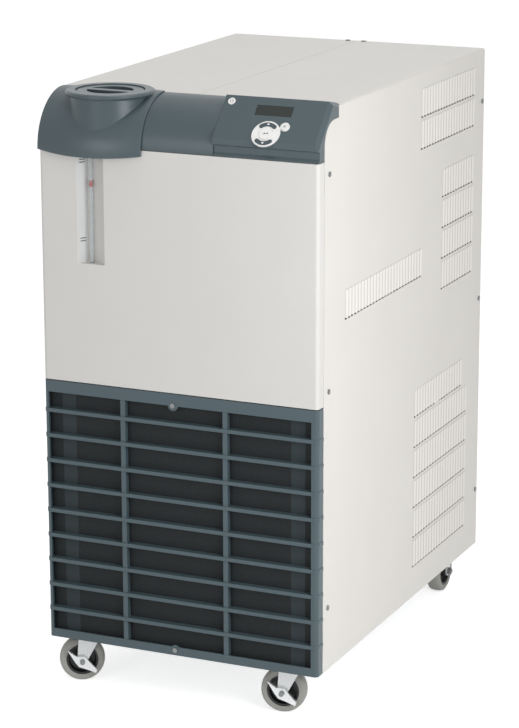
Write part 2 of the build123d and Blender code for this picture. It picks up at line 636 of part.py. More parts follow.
with BuildPart() as control_housing:
    with BuildSketch(Plane.YZ.offset(POD_LEFT)):
        with BuildLine():
            Polyline(*pod_profile, close=True)
        make_face()
    extrude(amount=HALF_W - POD_LEFT)
    end_edges = control_housing.faces().sort_by(Axis.X)[-1].edges()
    chamfer(end_edges.sort_by(Axis.Z)[-2:], length=POD_BEVEL)
    # platform and boss that carry the keypad past the crease
    with BuildSketch(face_plane):
        with Locations(KEYPAD):
            Circle(KEYPAD_R + 1.0)
    extrude(amount=-3.0)
    with BuildSketch(face_plane.offset(-3.0)):
        with Locations(KEYPAD):
            Circle(KEYPAD_R - 6.0)
    extrude(amount=-16.0)
    with BuildSketch(Plane.YZ.offset(POD_LEFT + BAND_WALL)):
        with BuildLine():
            Polyline(*pod_room, close=True)
        make_face()
    extrude(amount=HALF_W - POD_BEVEL - 2.0 - POD_LEFT - BAND_WALL, mode=Mode.SUBTRACT)
    with BuildSketch(Plane.YZ.offset(INNER_W - SEAT)):
        with BuildLine():
            side_outline(SIDE_Y, 0.5)
        make_face()
    extrude(amount=SHEET + SEAT + 1, mode=Mode.SUBTRACT)
    with BuildSketch(face_plane):
        with Locations(DISPLAY):
            Rectangle(DISPLAY_SIZE[0], DISPLAY_SIZE[1])
    extrude(amount=-1.5, mode=Mode.SUBTRACT)
    with BuildSketch(face_plane):
        with Locations(POWER_KEY):
            Circle(POWER_R + SEAT)
    extrude(amount=-1.8, mode=Mode.SUBTRACT)
control_housing.part.label = "control_housing"
export_step(control_housing.part, "parts/control_housing.step")

with BuildPart() as display_window:
    with BuildSketch(face_plane.offset(-1.5)):
        with Locations(DISPLAY):
            Rectangle(DISPLAY_SIZE[0] - 0.1, DISPLAY_SIZE[1] - 0.1)
    extrude(amount=1.3)
display_window.part.label = "display_window"
export_step(display_window.part, "parts/display_window.step")

# Keypad plate with its arc keys, centre key and satellite key
KEY_GAP = 0.3
ARC_KEY_R = 16.9
ARC_KEY_W = 6.2
ARC_KEY_HALF = 40.0
CENTRE_KEY_R = 10.5


def arc_key_line(middle):
    """Middle line of an arc key about the keypad centre."""
    return Edge.make_circle(ARC_KEY_R, start_angle=middle - ARC_KEY_HALF, end_angle=middle + ARC_KEY_HALF)


with BuildPart() as keypad_plate:
    with BuildSketch(face_plane):
        with Locations(KEYPAD):
            Circle(KEYPAD_R)
        with Locations(SATELLITE):
            Circle(SATELLITE_R)
        with Locations(KEYPAD):
            Circle(CENTRE_KEY_R + KEY_GAP, mode=Mode.SUBTRACT)
        with Locations(SATELLITE):
            Circle(SATELLITE_R - 2.0 + KEY_GAP, mode=Mode.SUBTRACT)
        with Locations(KEYPAD):
            for middle in (90, 270):
                SlotArc(arc_key_line(middle), ARC_KEY_W + 2 * KEY_GAP, mode=Mode.SUBTRACT)
    extrude(amount=PLATE_KEY_T)
keypad_plate.part.label = "keypad_plate"
export_step(keypad_plate.part, "parts/keypad_plate.step")

KEY_BOTTOM = KEY_TRAVEL + 0.1
KEY_TOP = PLATE_KEY_T + 0.9
for name, middle in (("up_key", 90), ("down_key", 270)):
    with BuildPart() as arc_key:
        with BuildSketch(face_plane.offset(KEY_BOTTOM)):
            with Locations(KEYPAD):
                SlotArc(arc_key_line(middle), ARC_KEY_W)
        extrude(amount=KEY_TOP - KEY_BOTTOM)
    arc_key.part.label = name
    export_step(arc_key.part, f"parts/{name}.step")

for name, centre, radius, bottom, top in (
    ("enter_key", KEYPAD, CENTRE_KEY_R, KEY_BOTTOM, KEY_TOP),
    ("cancel_key", SATELLITE, SATELLITE_R - 2.0, KEY_BOTTOM, KEY_TOP),
    ("power_key", POWER_KEY, POWER_R, -0.9, 0.9),
):
    with BuildPart() as round_key:
        with BuildSketch(face_plane.offset(bottom)):
            with Locations(centre):
                Circle(radius)
        extrude(amount=top - bottom)
    round_key.part.label = name
    export_step(round_key.part, f"parts/{name}.step")

# Control board under the sloped face
with BuildPart() as control_board:
    with BuildSketch(face_plane.offset(-5.3)):
        with Locations((DISPLAY[0] - 10, -26.0)):
            Rectangle(120.0, 36.0)
    extrude(amount=-1.6)
    with BuildSketch(face_plane.offset(-6.9)):
        with Locations((DISPLAY[0] - 40, -20.0), (DISPLAY[0] + 10, -30.0)):
            Rectangle(24.0, 14.0)
    extrude(amount=-6.0)
    with BuildSketch(face_plane.offset(-5.3)):
        with Locations((DISPLAY[0] - 10, -26.0)):
            with GridLocations(108.0, 28.0, 2, 2):
                Circle(2.5)
    extrude(amount=1.3)
control_board.part.label = "control_board"
export_step(control_board.part, "parts/control_board.step")

# Reservoir: a hollow moulded tank with its filler neck, on the shelf
TANK_X0 = -212.0
TANK_X1 = -60.0
TANK_Y0 = RAIL_Y + 0.6
TANK_Y1 = -190.0
TANK_Z0 = SHELF_Z + SHELF_T + SEAT
TANK_Z1 = 880.0
TANK_WALL = 4.0
NECK_TOP = CAP_TOP - CAP_T - SEAT
STUB_L = 14.0
TANK_OUT = (PUMP_X, TANK_Z0 + 22.0)
TANK_BACK = (-80.0, 720.0)
with BuildPart() as reservoir:
    with BuildSketch(Plane.XY.offset(TANK_Z0)):
        with Locations(((TANK_X0 + TANK_X1) / 2, (TANK_Y0 + TANK_Y1) / 2)):
            RectangleRounded(TANK_X1 - TANK_X0, TANK_Y1 - TANK_Y0, 12.0)
    extrude(amount=TANK_Z1 - TANK_Z0)
    with BuildSketch(Plane.XY.offset(TANK_Z1)):
        with Locations((NECK_X, NECK_Y)):
            Circle(NECK_R)
    extrude(amount=NECK_TOP - TANK_Z1)
    with BuildSketch(Plane.XZ.offset(-TANK_Y1)):
        with Locations(TANK_OUT, TANK_BACK):
            Circle(HOSE_R - 2.0)
    extrude(amount=-STUB_L)
    with BuildSketch(Plane.XZ.offset(-TANK_Y0)):
        with Locations((TUBE_X, CHANNEL_Z0 - 15.0)):
            Circle(TUBE_R)
    extrude(amount=TANK_Y0 - TUBE_Y)
    with BuildSketch(Plane.XY.offset(CHANNEL_Z0 - 15.0)):
        with Locations((TUBE_X, TUBE_Y)):
            Circle(TUBE_R)
    extrude(amount=9.0)
    with BuildSketch(Plane.XY.offset(TANK_Z0 + TANK_WALL)):
        with Locations(((TANK_X0 + TANK_X1) / 2, (TANK_Y0 + TANK_Y1) / 2)):
            RectangleRounded(
                TANK_X1 - TANK_X0 - 2 * TANK_WALL, TANK_Y1 - TANK_Y0 - 2 * TANK_WALL, 12.0 - TANK_WALL
            )
    extrude(amount=TANK_Z1 - TANK_Z0 - 2 * TANK_WALL, mode=Mode.SUBTRACT)
    with BuildSketch(Plane.XY.offset(NECK_TOP)):
        with Locations((NECK_X, NECK_Y)):
            Circle(NECK_BORE)
    extrude(amount=-(NECK_TOP - TANK_Z1 + TANK_WALL), mode=Mode.SUBTRACT)
reservoir.part.label = "reservoir"
export_step(reservoir.part, "parts/reservoir.step")

# Filler cap: a dished disc with a finger bar between two half-moon recesses
CAP_WELL_R = 37.0
CAP_BAR = 14.0
CAP_WELL_D = 10.0
with BuildPart() as fill_cap:
    with BuildSketch(Plane.XY.offset(CAP_TOP - CAP_T)):
        with Locations((NECK_X, NECK_Y)):
            Circle(CAP_R)
    extrude(amount=CAP_T)
    fillet(fill_cap.edges().group_by(Axis.Z)[-1], 2.0)
    with BuildSketch(Plane.XY.offset(CAP_TOP)):
        with Locations((NECK_X, NECK_Y)):
            Circle(CAP_WELL_R)
            Rectangle(2 * CAP_WELL_R + 2, CAP_BAR, mode=Mode.SUBTRACT)
    extrude(amount=-CAP_WELL_D, mode=Mode.SUBTRACT)
    with BuildSketch(Plane.XY.offset(CAP_TOP - CAP_T)):
        with Locations((NECK_X, NECK_Y)):
            Circle(NECK_R + SEAT + 3.5)
            Circle(NECK_R + SEAT, mode=Mode.SUBTRACT)
    extrude(amount=-25.0)
fill_cap.part.label = "fill_cap"
export_step(fill_cap.part, "parts/fill_cap.step")

# Sight tube and the float inside it
with BuildPart() as sight_tube:
    with BuildSketch(Plane.XY.offset(CHANNEL_Z0 - 15.0 + 9.0)):
        with Locations((TUBE_X, TUBE_Y)):
            Circle(TUBE_R)
            Circle(TUBE_BORE, mode=Mode.SUBTRACT)
    extrude(amount=TUBE_Z1 - CHANNEL_Z0 + 6.0)
sight_tube.part.label = "sight_tube"
export_step(sight_tube.part, "parts/sight_tube.step")

with BuildPart() as level_float:
    with BuildSketch(Plane.XY.offset(FLOAT_Z)):
        with Locations((TUBE_X, TUBE_Y)):
            Circle(FLOAT_R)
    extrude(amount=FLOAT_H)
level_float.part.label = "level_float"
export_step(level_float.part, "parts/level_float.step")

# Condenser: finned core between two end plates with front flanges
COND_X0 = COND_X - COND_W / 2
COND_X1 = COND_X + COND_W / 2
with BuildPart() as condenser:
    with BuildSketch(Plane.XY.offset(PAN_TOP)):
        for x0, x1 in ((COND_X0, COND_X0 + SHEET), (COND_X1 - SHEET, COND_X1)):
            with Locations(((x0 + x1) / 2, COND_Y + COND_D / 2)):
                Rectangle(SHEET, COND_D)
        for x0 in (COND_X0, COND_X1 - COND_FLANGE):
            with Locations((x0 + COND_FLANGE / 2, COND_Y + SHEET / 2)):
                Rectangle(COND_FLANGE, SHEET)
    extrude(amount=COND_TOP - PAN_TOP)
    with BuildSketch(Plane.XY.offset(PAN_TOP + 8.0)):
        with Locations((COND_X, COND_Y + COND_D / 2 + 0.6)):
            Rectangle(COND_W - 2 * SHEET, COND_D - 1.2)
    extrude(amount=COND_TOP - PAN_TOP - 12.0)
    with BuildSketch(Plane.XY.offset(COND_TOP - 4.0)):
        with Locations((170.0, COND_Y + 25.0), (EVAP_X, COND_Y + 25.0)):
            Circle(6.0)
    extrude(amount=20.0)
condenser.part.label = "condenser"
export_step(condenser.part, "parts/condenser.step")

# Fan shroud: plate, ring and a three-arm spider that carries the motor
SPIDER_Y = SHROUD_Y + SHROUD_D
SPIDER_T = 3.0
with BuildPart() as fan_shroud:
    with BuildSketch(Plane.XZ.offset(-SHROUD_Y)):
        with Locations((COND_X, (PAN_TOP + COND_TOP) / 2)):
            Rectangle(COND_W - 8.0, COND_TOP - PAN_TOP)
        with Locations((COND_X, FAN_Z)):
            Circle(FAN_BORE, mode=Mode.SUBTRACT)
    extrude(amount=-SHEET)
    with BuildSketch(Plane.XZ.offset(-SHROUD_Y)):
        with Locations((COND_X, FAN_Z)):
            Circle(FAN_BORE + 2.0)
            Circle(FAN_BORE, mode=Mode.SUBTRACT)
    extrude(amount=-SHROUD_D - SPIDER_T)
    with BuildSketch(Plane.XZ.offset(-SPIDER_Y)):
        with Locations((COND_X, FAN_Z)):
            with PolarLocations((FAN_BORE + 30.0) / 2, 3, start_angle=90):
                Rectangle(FAN_BORE - 30.0 + 2.0, 14.0)
            Circle(36.0)
            Circle(16.0, mode=Mode.SUBTRACT)
    extrude(amount=-SPIDER_T)
fan_shroud.part.label = "fan_shroud"
export_step(fan_shroud.part, "parts/fan_shroud.step")

MOTOR_Y = SPIDER_Y + SPIDER_T
with BuildPart() as fan_motor:
    with BuildSketch(Plane.XZ.offset(-MOTOR_Y)):
        with Locations((COND_X, FAN_Z)):
            Circle(MOTOR_R)
    extrude(amount=-MOTOR_L)
    chamfer(fan_motor.edges().group_by(Axis.Y)[-1], length=8.0)
    with BuildSketch(Plane.XZ.offset(-MOTOR_Y)):
        with Locations((COND_X, FAN_Z)):
            Circle(SHAFT_R + 0.08)
    extrude(amount=-30.0, mode=Mode.SUBTRACT)
fan_motor.part.label = "fan_motor"
export_step(fan_motor.part, "parts/fan_motor.step")

BLADES = 5
BLADE_PITCH = 24.0
FAN_Y = SHROUD_Y + SHROUD_D / 2
with BuildPart() as fan:
    with BuildSketch(Plane.XZ.offset(-FAN_Y - 12.0)):
        with Locations((COND_X, FAN_Z)):
            Circle(36.0)
    extrude(amount=24.0)
    with BuildSketch(Plane.XZ.offset(-FAN_Y)):
        with Locations((COND_X, FAN_Z)):
            Circle(SHAFT_R)
    extrude(amount=-(MOTOR_Y - FAN_Y + 26.0))
    for blade in range(BLADES):
        turn = radians(blade * 360.0 / BLADES)
        out = Vector(cos(turn), 0, sin(turn))
        across = Vector(-sin(turn), 0, cos(turn)) * cos(radians(BLADE_PITCH)) + Vector(
            0, sin(radians(BLADE_PITCH)), 0
        )
        blade_plane = Plane(
            origin=Vector(COND_X, FAN_Y, FAN_Z), x_dir=out, z_dir=out.cross(across)
        )
        with BuildSketch(blade_plane):
            with BuildLine():
                tip = ThreePointArc((FAN_R - 12, -40), (FAN_R - 4, 0), (FAN_R - 12, 40))
                Polyline(tip @ 1, (30, 20), (30, -20), tip @ 0)
            make_face()
        extrude(amount=1.0, both=True)
fan.part.label = "fan"
export_step(fan.part, "parts/fan.step")

# Compressor: a domed steel shell on a foot plate, with four rubber grommets under it
FOOT = 150.0
GROMMET_SPAN = 124.0
with BuildPart() as compressor:
    with BuildSketch(Plane(origin=(COMP_X, COMP_Y, 0), x_dir=(1, 0, 0), z_dir=(0, -1, 0))):
        with BuildLine():
            Polyline(
                (0, COMP_Z0),
                (COMP_R - 16, COMP_Z0),
                (COMP_R, COMP_Z0 + 14),
                (COMP_R, COMP_Z1 - 26),
                (COMP_R - 26, COMP_Z1 - 4),
                (24, COMP_Z1),
                (0, COMP_Z1),
                close=True,
            )
        make_face()
    revolve(axis=Axis((COMP_X, COMP_Y, 0), (0, 0, 1)))
    with BuildSketch(Plane.XY.offset(COMP_Z0)):
        with Locations((COMP_X, COMP_Y)):
            RectangleRounded(FOOT, FOOT, 12.0)
    extrude(amount=4.0)
    with BuildSketch(Plane.XZ.offset(-COMP_Y)):
        with Locations((170.0, 330.0)):
            Circle(6.0)
        with Locations((110.0, 250.0)):
            Circle(8.0)
    extrude(amount=COMP_R + 16.0)
compressor.part.label = "compressor"
export_step(compressor.part, "parts/compressor.step")

with BuildPart() as compressor_grommets:
    with BuildSketch(Plane.XY.offset(PAN_TOP)):
        with Locations((COMP_X, COMP_Y)):
            with GridLocations(GROMMET_SPAN, GROMMET_SPAN, 2, 2):
                Circle(12.0)
    extrude(amount=COMP_Z0 - PAN_TOP)
compressor_grommets.part.label = "compressor_grommets"
export_step(compressor_grommets.part, "parts/compressor_grommets.step")

# Plate evaporator on its foot, with two coolant ports and two refrigerant ports
EVAP_Z0 = PAN_TOP + 4.0
EVAP_PORT_LOW = PORT_Z
EVAP_PORT_HIGH = 380.0
EVAP_LEFT = EVAP_X - EVAP_SIZE[0] / 2
EVAP_FRONT = EVAP_Y - EVAP_SIZE[1] / 2
with BuildPart() as evaporator:
    with BuildSketch(Plane.XY.offset(PAN_TOP)):
        with Locations((EVAP_X, EVAP_Y)):
            Rectangle(EVAP_SIZE[0] + 24.0, EVAP_SIZE[1])
    extrude(amount=EVAP_Z0 - PAN_TOP)
    with BuildSketch(Plane.XY.offset(EVAP_Z0)):
        with Locations((EVAP_X, EVAP_Y)):
            RectangleRounded(EVAP_SIZE[0], EVAP_SIZE[1], 10.0)
    extrude(amount=EVAP_SIZE[2])
    with BuildSketch(Plane.YZ.offset(EVAP_LEFT)):
        with Locations((EVAP_Y, EVAP_PORT_LOW), (EVAP_Y, EVAP_PORT_HIGH)):
            Circle(HOSE_R - 2.0)
    extrude(amount=-STUB_L)
    with BuildSketch(Plane.XZ.offset(-EVAP_FRONT)):
        with Locations((EVAP_X, EVAP_PORT_LOW)):
            Circle(6.0)
        with Locations((EVAP_X, EVAP_PORT_HIGH)):
            Circle(8.0)
    extrude(amount=STUB_L)
evaporator.part.label = "evaporator"
export_step(evaporator.part, "parts/evaporator.step")

# Coolant pump: motor, volute, foot and two hose stubs
VOLUTE_D = 30.0
MOTOR_LEN = 200.0
with BuildPart() as pump:
    with BuildSketch(Plane.XZ.offset(-PUMP_Y + VOLUTE_D / 2)):
        with Locations((PUMP_X, PUMP_Z)):
            Circle(VOLUTE_R)
    extrude(amount=-VOLUTE_D)
    with BuildSketch(Plane.XZ.offset(-PUMP_Y - VOLUTE_D / 2)):
        with Locations((PUMP_X, PUMP_Z)):
            Circle(PUMP_R)
    extrude(amount=-MOTOR_LEN)
    with BuildSketch(Plane.XY.offset(PAN_TOP)):
        with Locations((PUMP_X, PUMP_Y + VOLUTE_D / 2 + MOTOR_LEN / 2)):
            Rectangle(90.0, MOTOR_LEN - 60.0)
    extrude(amount=PUMP_Z - PAN_TOP - 20.0)
    with BuildSketch(Plane.XZ.offset(-PUMP_Y + VOLUTE_D / 2)):
        with Locations((PUMP_X, PUMP_Z)):
            Circle(HOSE_R - 2.0)
    extrude(amount=STUB_L)
    with BuildSketch(Plane.XY.offset(PUMP_Z)):
        with Locations((PUMP_X, PUMP_Y)):
            Circle(HOSE_R - 2.0)
    extrude(amount=VOLUTE_R + STUB_L)
pump.part.label = "pump"
export_step(pump.part, "parts/pump.step")

# Process fittings through the rear panel, each with a parallel-thread bore
FITTING_BODY_R = 15.0
FITTING_HEX_R = 21.0
FITTING_OUT = 26.0
FITTING_IN = 22.0
with BuildPart() as process_fittings:
    with BuildSketch(rear.offset(SHEET + FITTING_IN)):
        with Locations((OUTLET_X, PORT_Z), (INLET_X, PORT_Z)):
            Circle(FITTING_BODY_R)
    extrude(amount=-(SHEET + FITTING_IN + FITTING_OUT))
    with BuildSketch(rear.offset(-FITTING_OUT)):
        with Locations((OUTLET_X, PORT_Z), (INLET_X, PORT_Z)):
            RegularPolygon(FITTING_HEX_R, 6)
    extrude(amount=FITTING_OUT - SEAT)
    with BuildSketch(rear.offset(-FITTING_OUT)):
        with Locations((OUTLET_X, PORT_Z), (INLET_X, PORT_Z)):
            Circle(PORT_BORE)
    extrude(amount=24.0, mode=Mode.SUBTRACT)
process_fittings.part.label = "process_fittings"
export_step(process_fittings.part, "parts/process_fittings.step")

# Mains inlet and circuit breaker on the rear panel
with BuildPart() as power_inlet:
    with BuildSketch(rear.offset(-3.0)):
        with Locations((POWER_X, POWER_Z)):
            RectangleRounded(INLET_CUT[0] + 12.0, INLET_CUT[1] + 10.0, 5.0)
    extrude(amount=3.0 - SEAT)
    with BuildSketch(rear.offset(-SEAT)):
        with Locations((POWER_X, POWER_Z)):
            Rectangle(INLET_CUT[0] - 0.6, INLET_CUT[1] - 0.6)
    extrude(amount=26.0)
    with BuildSketch(rear.offset(-3.0)):
        with Locations((POWER_X, POWER_Z)):
            RectangleRounded(INLET_CUT[0] - 6.0, INLET_CUT[1] - 14.0, 3.0)
    extrude(amount=20.0, mode=Mode.SUBTRACT)
    with BuildSketch(rear.offset(17.0)):
        with Locations((POWER_X, POWER_Z)):
            with GridLocations(0, 10.0, 1, 3):
                Rectangle(6.0, 2.0)
    extrude(amount=-15.0)
power_inlet.part.label = "power_inlet"
export_step(power_inlet.part, "parts/power_inlet.step")

TOGGLE_R = 5.0
TOGGLE_PIVOT_Y = REAR_Y - 2.0
with BuildPart() as breaker_body:
    with BuildSketch(rear.offset(-2.5)):
        with Locations((BREAKER_X, POWER_Z)):
            RectangleRounded(BREAKER_CUT[0] + 8.0, BREAKER_CUT[1] + 10.0, 2.0)
    extrude(amount=2.5 - SEAT)
    with BuildSketch(rear.offset(-SEAT)):
        with Locations((BREAKER_X, POWER_Z)):
            Rectangle(BREAKER_CUT[0] - 0.6, BREAKER_CUT[1] - 0.6)
    extrude(amount=34.0)
    with BuildSketch(rear.offset(-2.5)):
        with Locations((BREAKER_X, POWER_Z)):
            Rectangle(8.0, 16.0)
    extrude(amount=14.0, mode=Mode.SUBTRACT)
breaker_body.part.label = "breaker_body"
export_step(breaker_body.part, "parts/breaker_body.step")

with BuildPart() as breaker_toggle:
    with BuildSketch(Plane.YZ.offset(BREAKER_X - 3.7)):
        with Locations((TOGGLE_PIVOT_Y, POWER_Z)):
            Circle(TOGGLE_R)
        with BuildLine():
            Polyline(
                (TOGGLE_PIVOT_Y, POWER_Z - 3.0),
                (TOGGLE_PIVOT_Y + 13.0, POWER_Z + 4.0),
                (TOGGLE_PIVOT_Y + 12.0, POWER_Z + 8.0),
                (TOGGLE_PIVOT_Y, POWER_Z + 5.0),
                close=True,
            )
        make_face()
    extrude(amount=7.4)
breaker_toggle.part.label = "breaker_toggle"
export_step(breaker_toggle.part, "parts/breaker_toggle.step")

# Coolant hoses and refrigerant lines: straight runs joined by arcs, swept as tubes
def run_of_tube(points, bend, radius, bore=0.0):
    """One tube along straight runs joined by arcs of radius bend."""
    with BuildPart() as tube:
        with BuildLine() as route:
            if len(points) > 2:
                FilletPolyline(*points, radius=bend)
            else:
                Line(*points)
        with BuildSketch(Plane(origin=route.line @ 0, z_dir=route.line % 0)):
            Circle(radius)
            if bore:
                Circle(bore, mode=Mode.SUBTRACT)
        sweep()
    return tube.part


PUMP_INLET_Y = PUMP_Y - VOLUTE_D / 2 - STUB_L
PUMP_OUTLET_Z = PUMP_Z + VOLUTE_R + STUB_L
EVAP_STUB_X = EVAP_LEFT - STUB_L
HOSE_FRONT_Y = -100.0
FITTING_BACK_Y = REAR_Y - SHEET - FITTING_IN
hose_routes = (
    [
        (TANK_OUT[0], TANK_Y1 + STUB_L, TANK_OUT[1]),
        (TANK_OUT[0], HOSE_FRONT_Y, TANK_OUT[1]),
        (PUMP_X, HOSE_FRONT_Y, PUMP_Z),
        (PUMP_X, PUMP_INLET_Y, PUMP_Z),
    ],
    [
        (PUMP_X, PUMP_Y, PUMP_OUTLET_Z),
        (PUMP_X, PUMP_Y, EVAP_PORT_HIGH),
        (EVAP_STUB_X, EVAP_Y, EVAP_PORT_HIGH),
    ],
    [
        (EVAP_STUB_X, EVAP_Y, EVAP_PORT_LOW),
        (OUTLET_X, EVAP_Y, EVAP_PORT_LOW),
        (OUTLET_X, FITTING_BACK_Y, PORT_Z),
    ],
    [
        (INLET_X, FITTING_BACK_Y, PORT_Z),
        (INLET_X, EVAP_Y + 90.0, PORT_Z),
        (INLET_X, EVAP_Y + 90.0, TANK_BACK[1]),
        (TANK_BACK[0], EVAP_Y + 90.0, TANK_BACK[1]),
        (TANK_BACK[0], TANK_Y1 + STUB_L, TANK_BACK[1]),
    ],
)
hose_bends = (50.0, 40.0, 22.0, 36.0)
coolant_hoses = Part(
    children=[run_of_tube(points, bend, HOSE_R, HOSE_R - 3.0) for points, bend in zip(hose_routes, hose_bends)]
)
coolant_hoses.label = "coolant_hoses"
export_step(coolant_hoses, "parts/coolant_hoses.step")

EVAP_STUB_Y = EVAP_FRONT - STUB_L
COMP_STUB_Y = COMP_Y - COMP_R - 16.0
COND_STUB_Z = COND_TOP + 16.0
line_routes = (
    (
        [
            (170.0, COMP_STUB_Y, 330.0),
            (170.0, 40.0, 330.0),
            (170.0, 40.0, 560.0),
            (170.0, COND_Y + 25.0, 560.0),
            (170.0, COND_Y + 25.0, COND_STUB_Z),
        ],
        6.0,
    ),
    (
        [
            (EVAP_X, COND_Y + 25.0, COND_STUB_Z),
            (EVAP_X, COND_Y + 25.0, 590.0),
            (EVAP_X, -60.0, 590.0),
            (EVAP_X, -60.0, EVAP_PORT_LOW),
            (EVAP_X, EVAP_STUB_Y, EVAP_PORT_LOW),
        ],
        6.0,
    ),
    (
        [
            (EVAP_X, EVAP_STUB_Y, EVAP_PORT_HIGH),
            (EVAP_X, EVAP_STUB_Y - 43.0, EVAP_PORT_HIGH),
            (110.0, EVAP_STUB_Y - 43.0, EVAP_PORT_HIGH),
            (110.0, EVAP_STUB_Y - 43.0, 250.0),
            (110.0, COMP_STUB_Y, 250.0),
        ],
        8.0,
    ),
)
refrigerant_lines = Part(children=[run_of_tube(points, 20.0, radius) for points, radius in line_routes])
refrigerant_lines.label = "refrigerant_lines"
export_step(refrigerant_lines, "parts/refrigerant_lines.step")

# Pan-head screws of the case and the grille
SHANK_L = 6.0
with BuildPart() as case_screws:
    for hand in (-1, 1):
        with BuildSketch(Plane.YZ.offset(hand * HALF_W)):
            with Locations(*SIDE_SCREWS):
                Circle(SCREW_HEAD_R)
        extrude(amount=hand * SCREW_HEAD_H)
        with BuildSketch(Plane.YZ.offset(hand * HALF_W)):
            with Locations(*SIDE_SCREWS):
                Circle(SCREW_R)
        extrude(amount=-hand * SHANK_L)
    with BuildSketch(Plane.XY.offset(CASE_TOP)):
        with Locations((-TOP_SCREWS_X, REAR_Y - 6.5), (TOP_SCREWS_X, REAR_Y - 6.5)):
            Circle(SCREW_HEAD_R)
    extrude(amount=SCREW_HEAD_H)
    with BuildSketch(Plane.XY.offset(CASE_TOP)):
        with Locations((-TOP_SCREWS_X, REAR_Y - 6.5), (TOP_SCREWS_X, REAR_Y - 6.5)):
            Circle(SCREW_R)
    extrude(amount=-SHANK_L)
    with BuildSketch(front):
        with Locations((GRILLE_SCREW_X, GRILLE_SCREW_Z[0]), (GRILLE_SCREW_X, GRILLE_SCREW_Z[1])):
            Circle(SCREW_HEAD_R)
    extrude(amount=SCREW_HEAD_H)
    with BuildSketch(front):
        with Locations((GRILLE_SCREW_X, GRILLE_SCREW_Z[0]), (GRILLE_SCREW_X, GRILLE_SCREW_Z[1])):
            Circle(SCREW_R)
    extrude(amount=-8.0)
case_screws.part.label = "case_screws"
export_step(case_screws.part, "parts/case_screws.step")


def wheel_axes(centre, axle_dir, forward):
    """Plane through the wheel centre whose X runs along the axle and whose Y points up."""
    return Plane(origin=centre, x_dir=axle_dir, z_dir=Vector(axle_dir).cross(Vector(0, 0, 1)))


def wheel_tyre(plane):
    """Tyre as a ring with a crowned tread, revolved about the axle."""
    with BuildPart() as tyre:
        with BuildSketch(plane):
            with BuildLine():
                tread = ThreePointArc(
                    (-TYRE_W / 2 + 2, WHEEL_R - 1.5), (0, WHEEL_R), (TYRE_W / 2 - 2, WHEEL_R - 1.5)
                )
                Polyline(
                    tread @ 1,
                    (TYRE_W / 2, WHEEL_R - 4.5),
                    (TYRE_W / 2, HUB_R),
                    (-TYRE_W / 2, HUB_R),
                    (-TYRE_W / 2, WHEEL_R - 4.5),
                    tread @ 0,
                )
            make_face()
        revolve(axis=Axis(plane.origin, plane.x_dir))
    return tyre


def wheel_hub(plane):
    """Hub with a rim, a thin web and a barrel bored for the axle."""
    half = TYRE_W / 2
    with BuildPart() as hub:
        with BuildSketch(plane):
            with BuildLine():
                Polyline(
                    (-half - 2, AXLE_R + 0.08),
                    (half + 2, AXLE_R + 0.08),
                    (half + 2, 9),
                    (4, 11),
                    (4, 21),
                    (half - 1, 23),
                    (half - 1, HUB_R),
                    (-half + 1, HUB_R),
                    (-half + 1, 23),
                    (-4, 21),
                    (-4, 11),
                    (-half - 2, 9),
                    close=True,
                )
            make_face()
        revolve(axis=Axis(plane.origin, plane.x_dir))
    return hub


def axle_bolt(plane, tail):
    """Axle with a hexagon head at one end and a nut at the other."""
    reach = LEG_GAP + LEG_T
    across = Plane(origin=plane.origin, x_dir=plane.y_dir, z_dir=plane.x_dir)
    with BuildPart() as axle:
        with BuildSketch(across.offset(-reach - SEAT)):
            Circle(AXLE_R)
        extrude(amount=2 * reach + SEAT + tail)
        with BuildSketch(across.offset(-reach - SEAT)):
            RegularPolygon(7.0, 6)
        extrude(amount=-5.0)
        if tail < 8.0:
            with BuildSketch(across.offset(reach + SEAT)):
                RegularPolygon(7.0, 6)
            extrude(amount=5.0)
    return axle


def leg_outline(foot_r, top_left, top_right, top_z, foot):
    """Side outline of a fork leg that tapers from the crown to a round end at the axle."""
    end = CenterArc(foot, foot_r, 180, 180)
    Polyline(end @ 1, (top_right, top_z), (top_left, top_z), end @ 0)


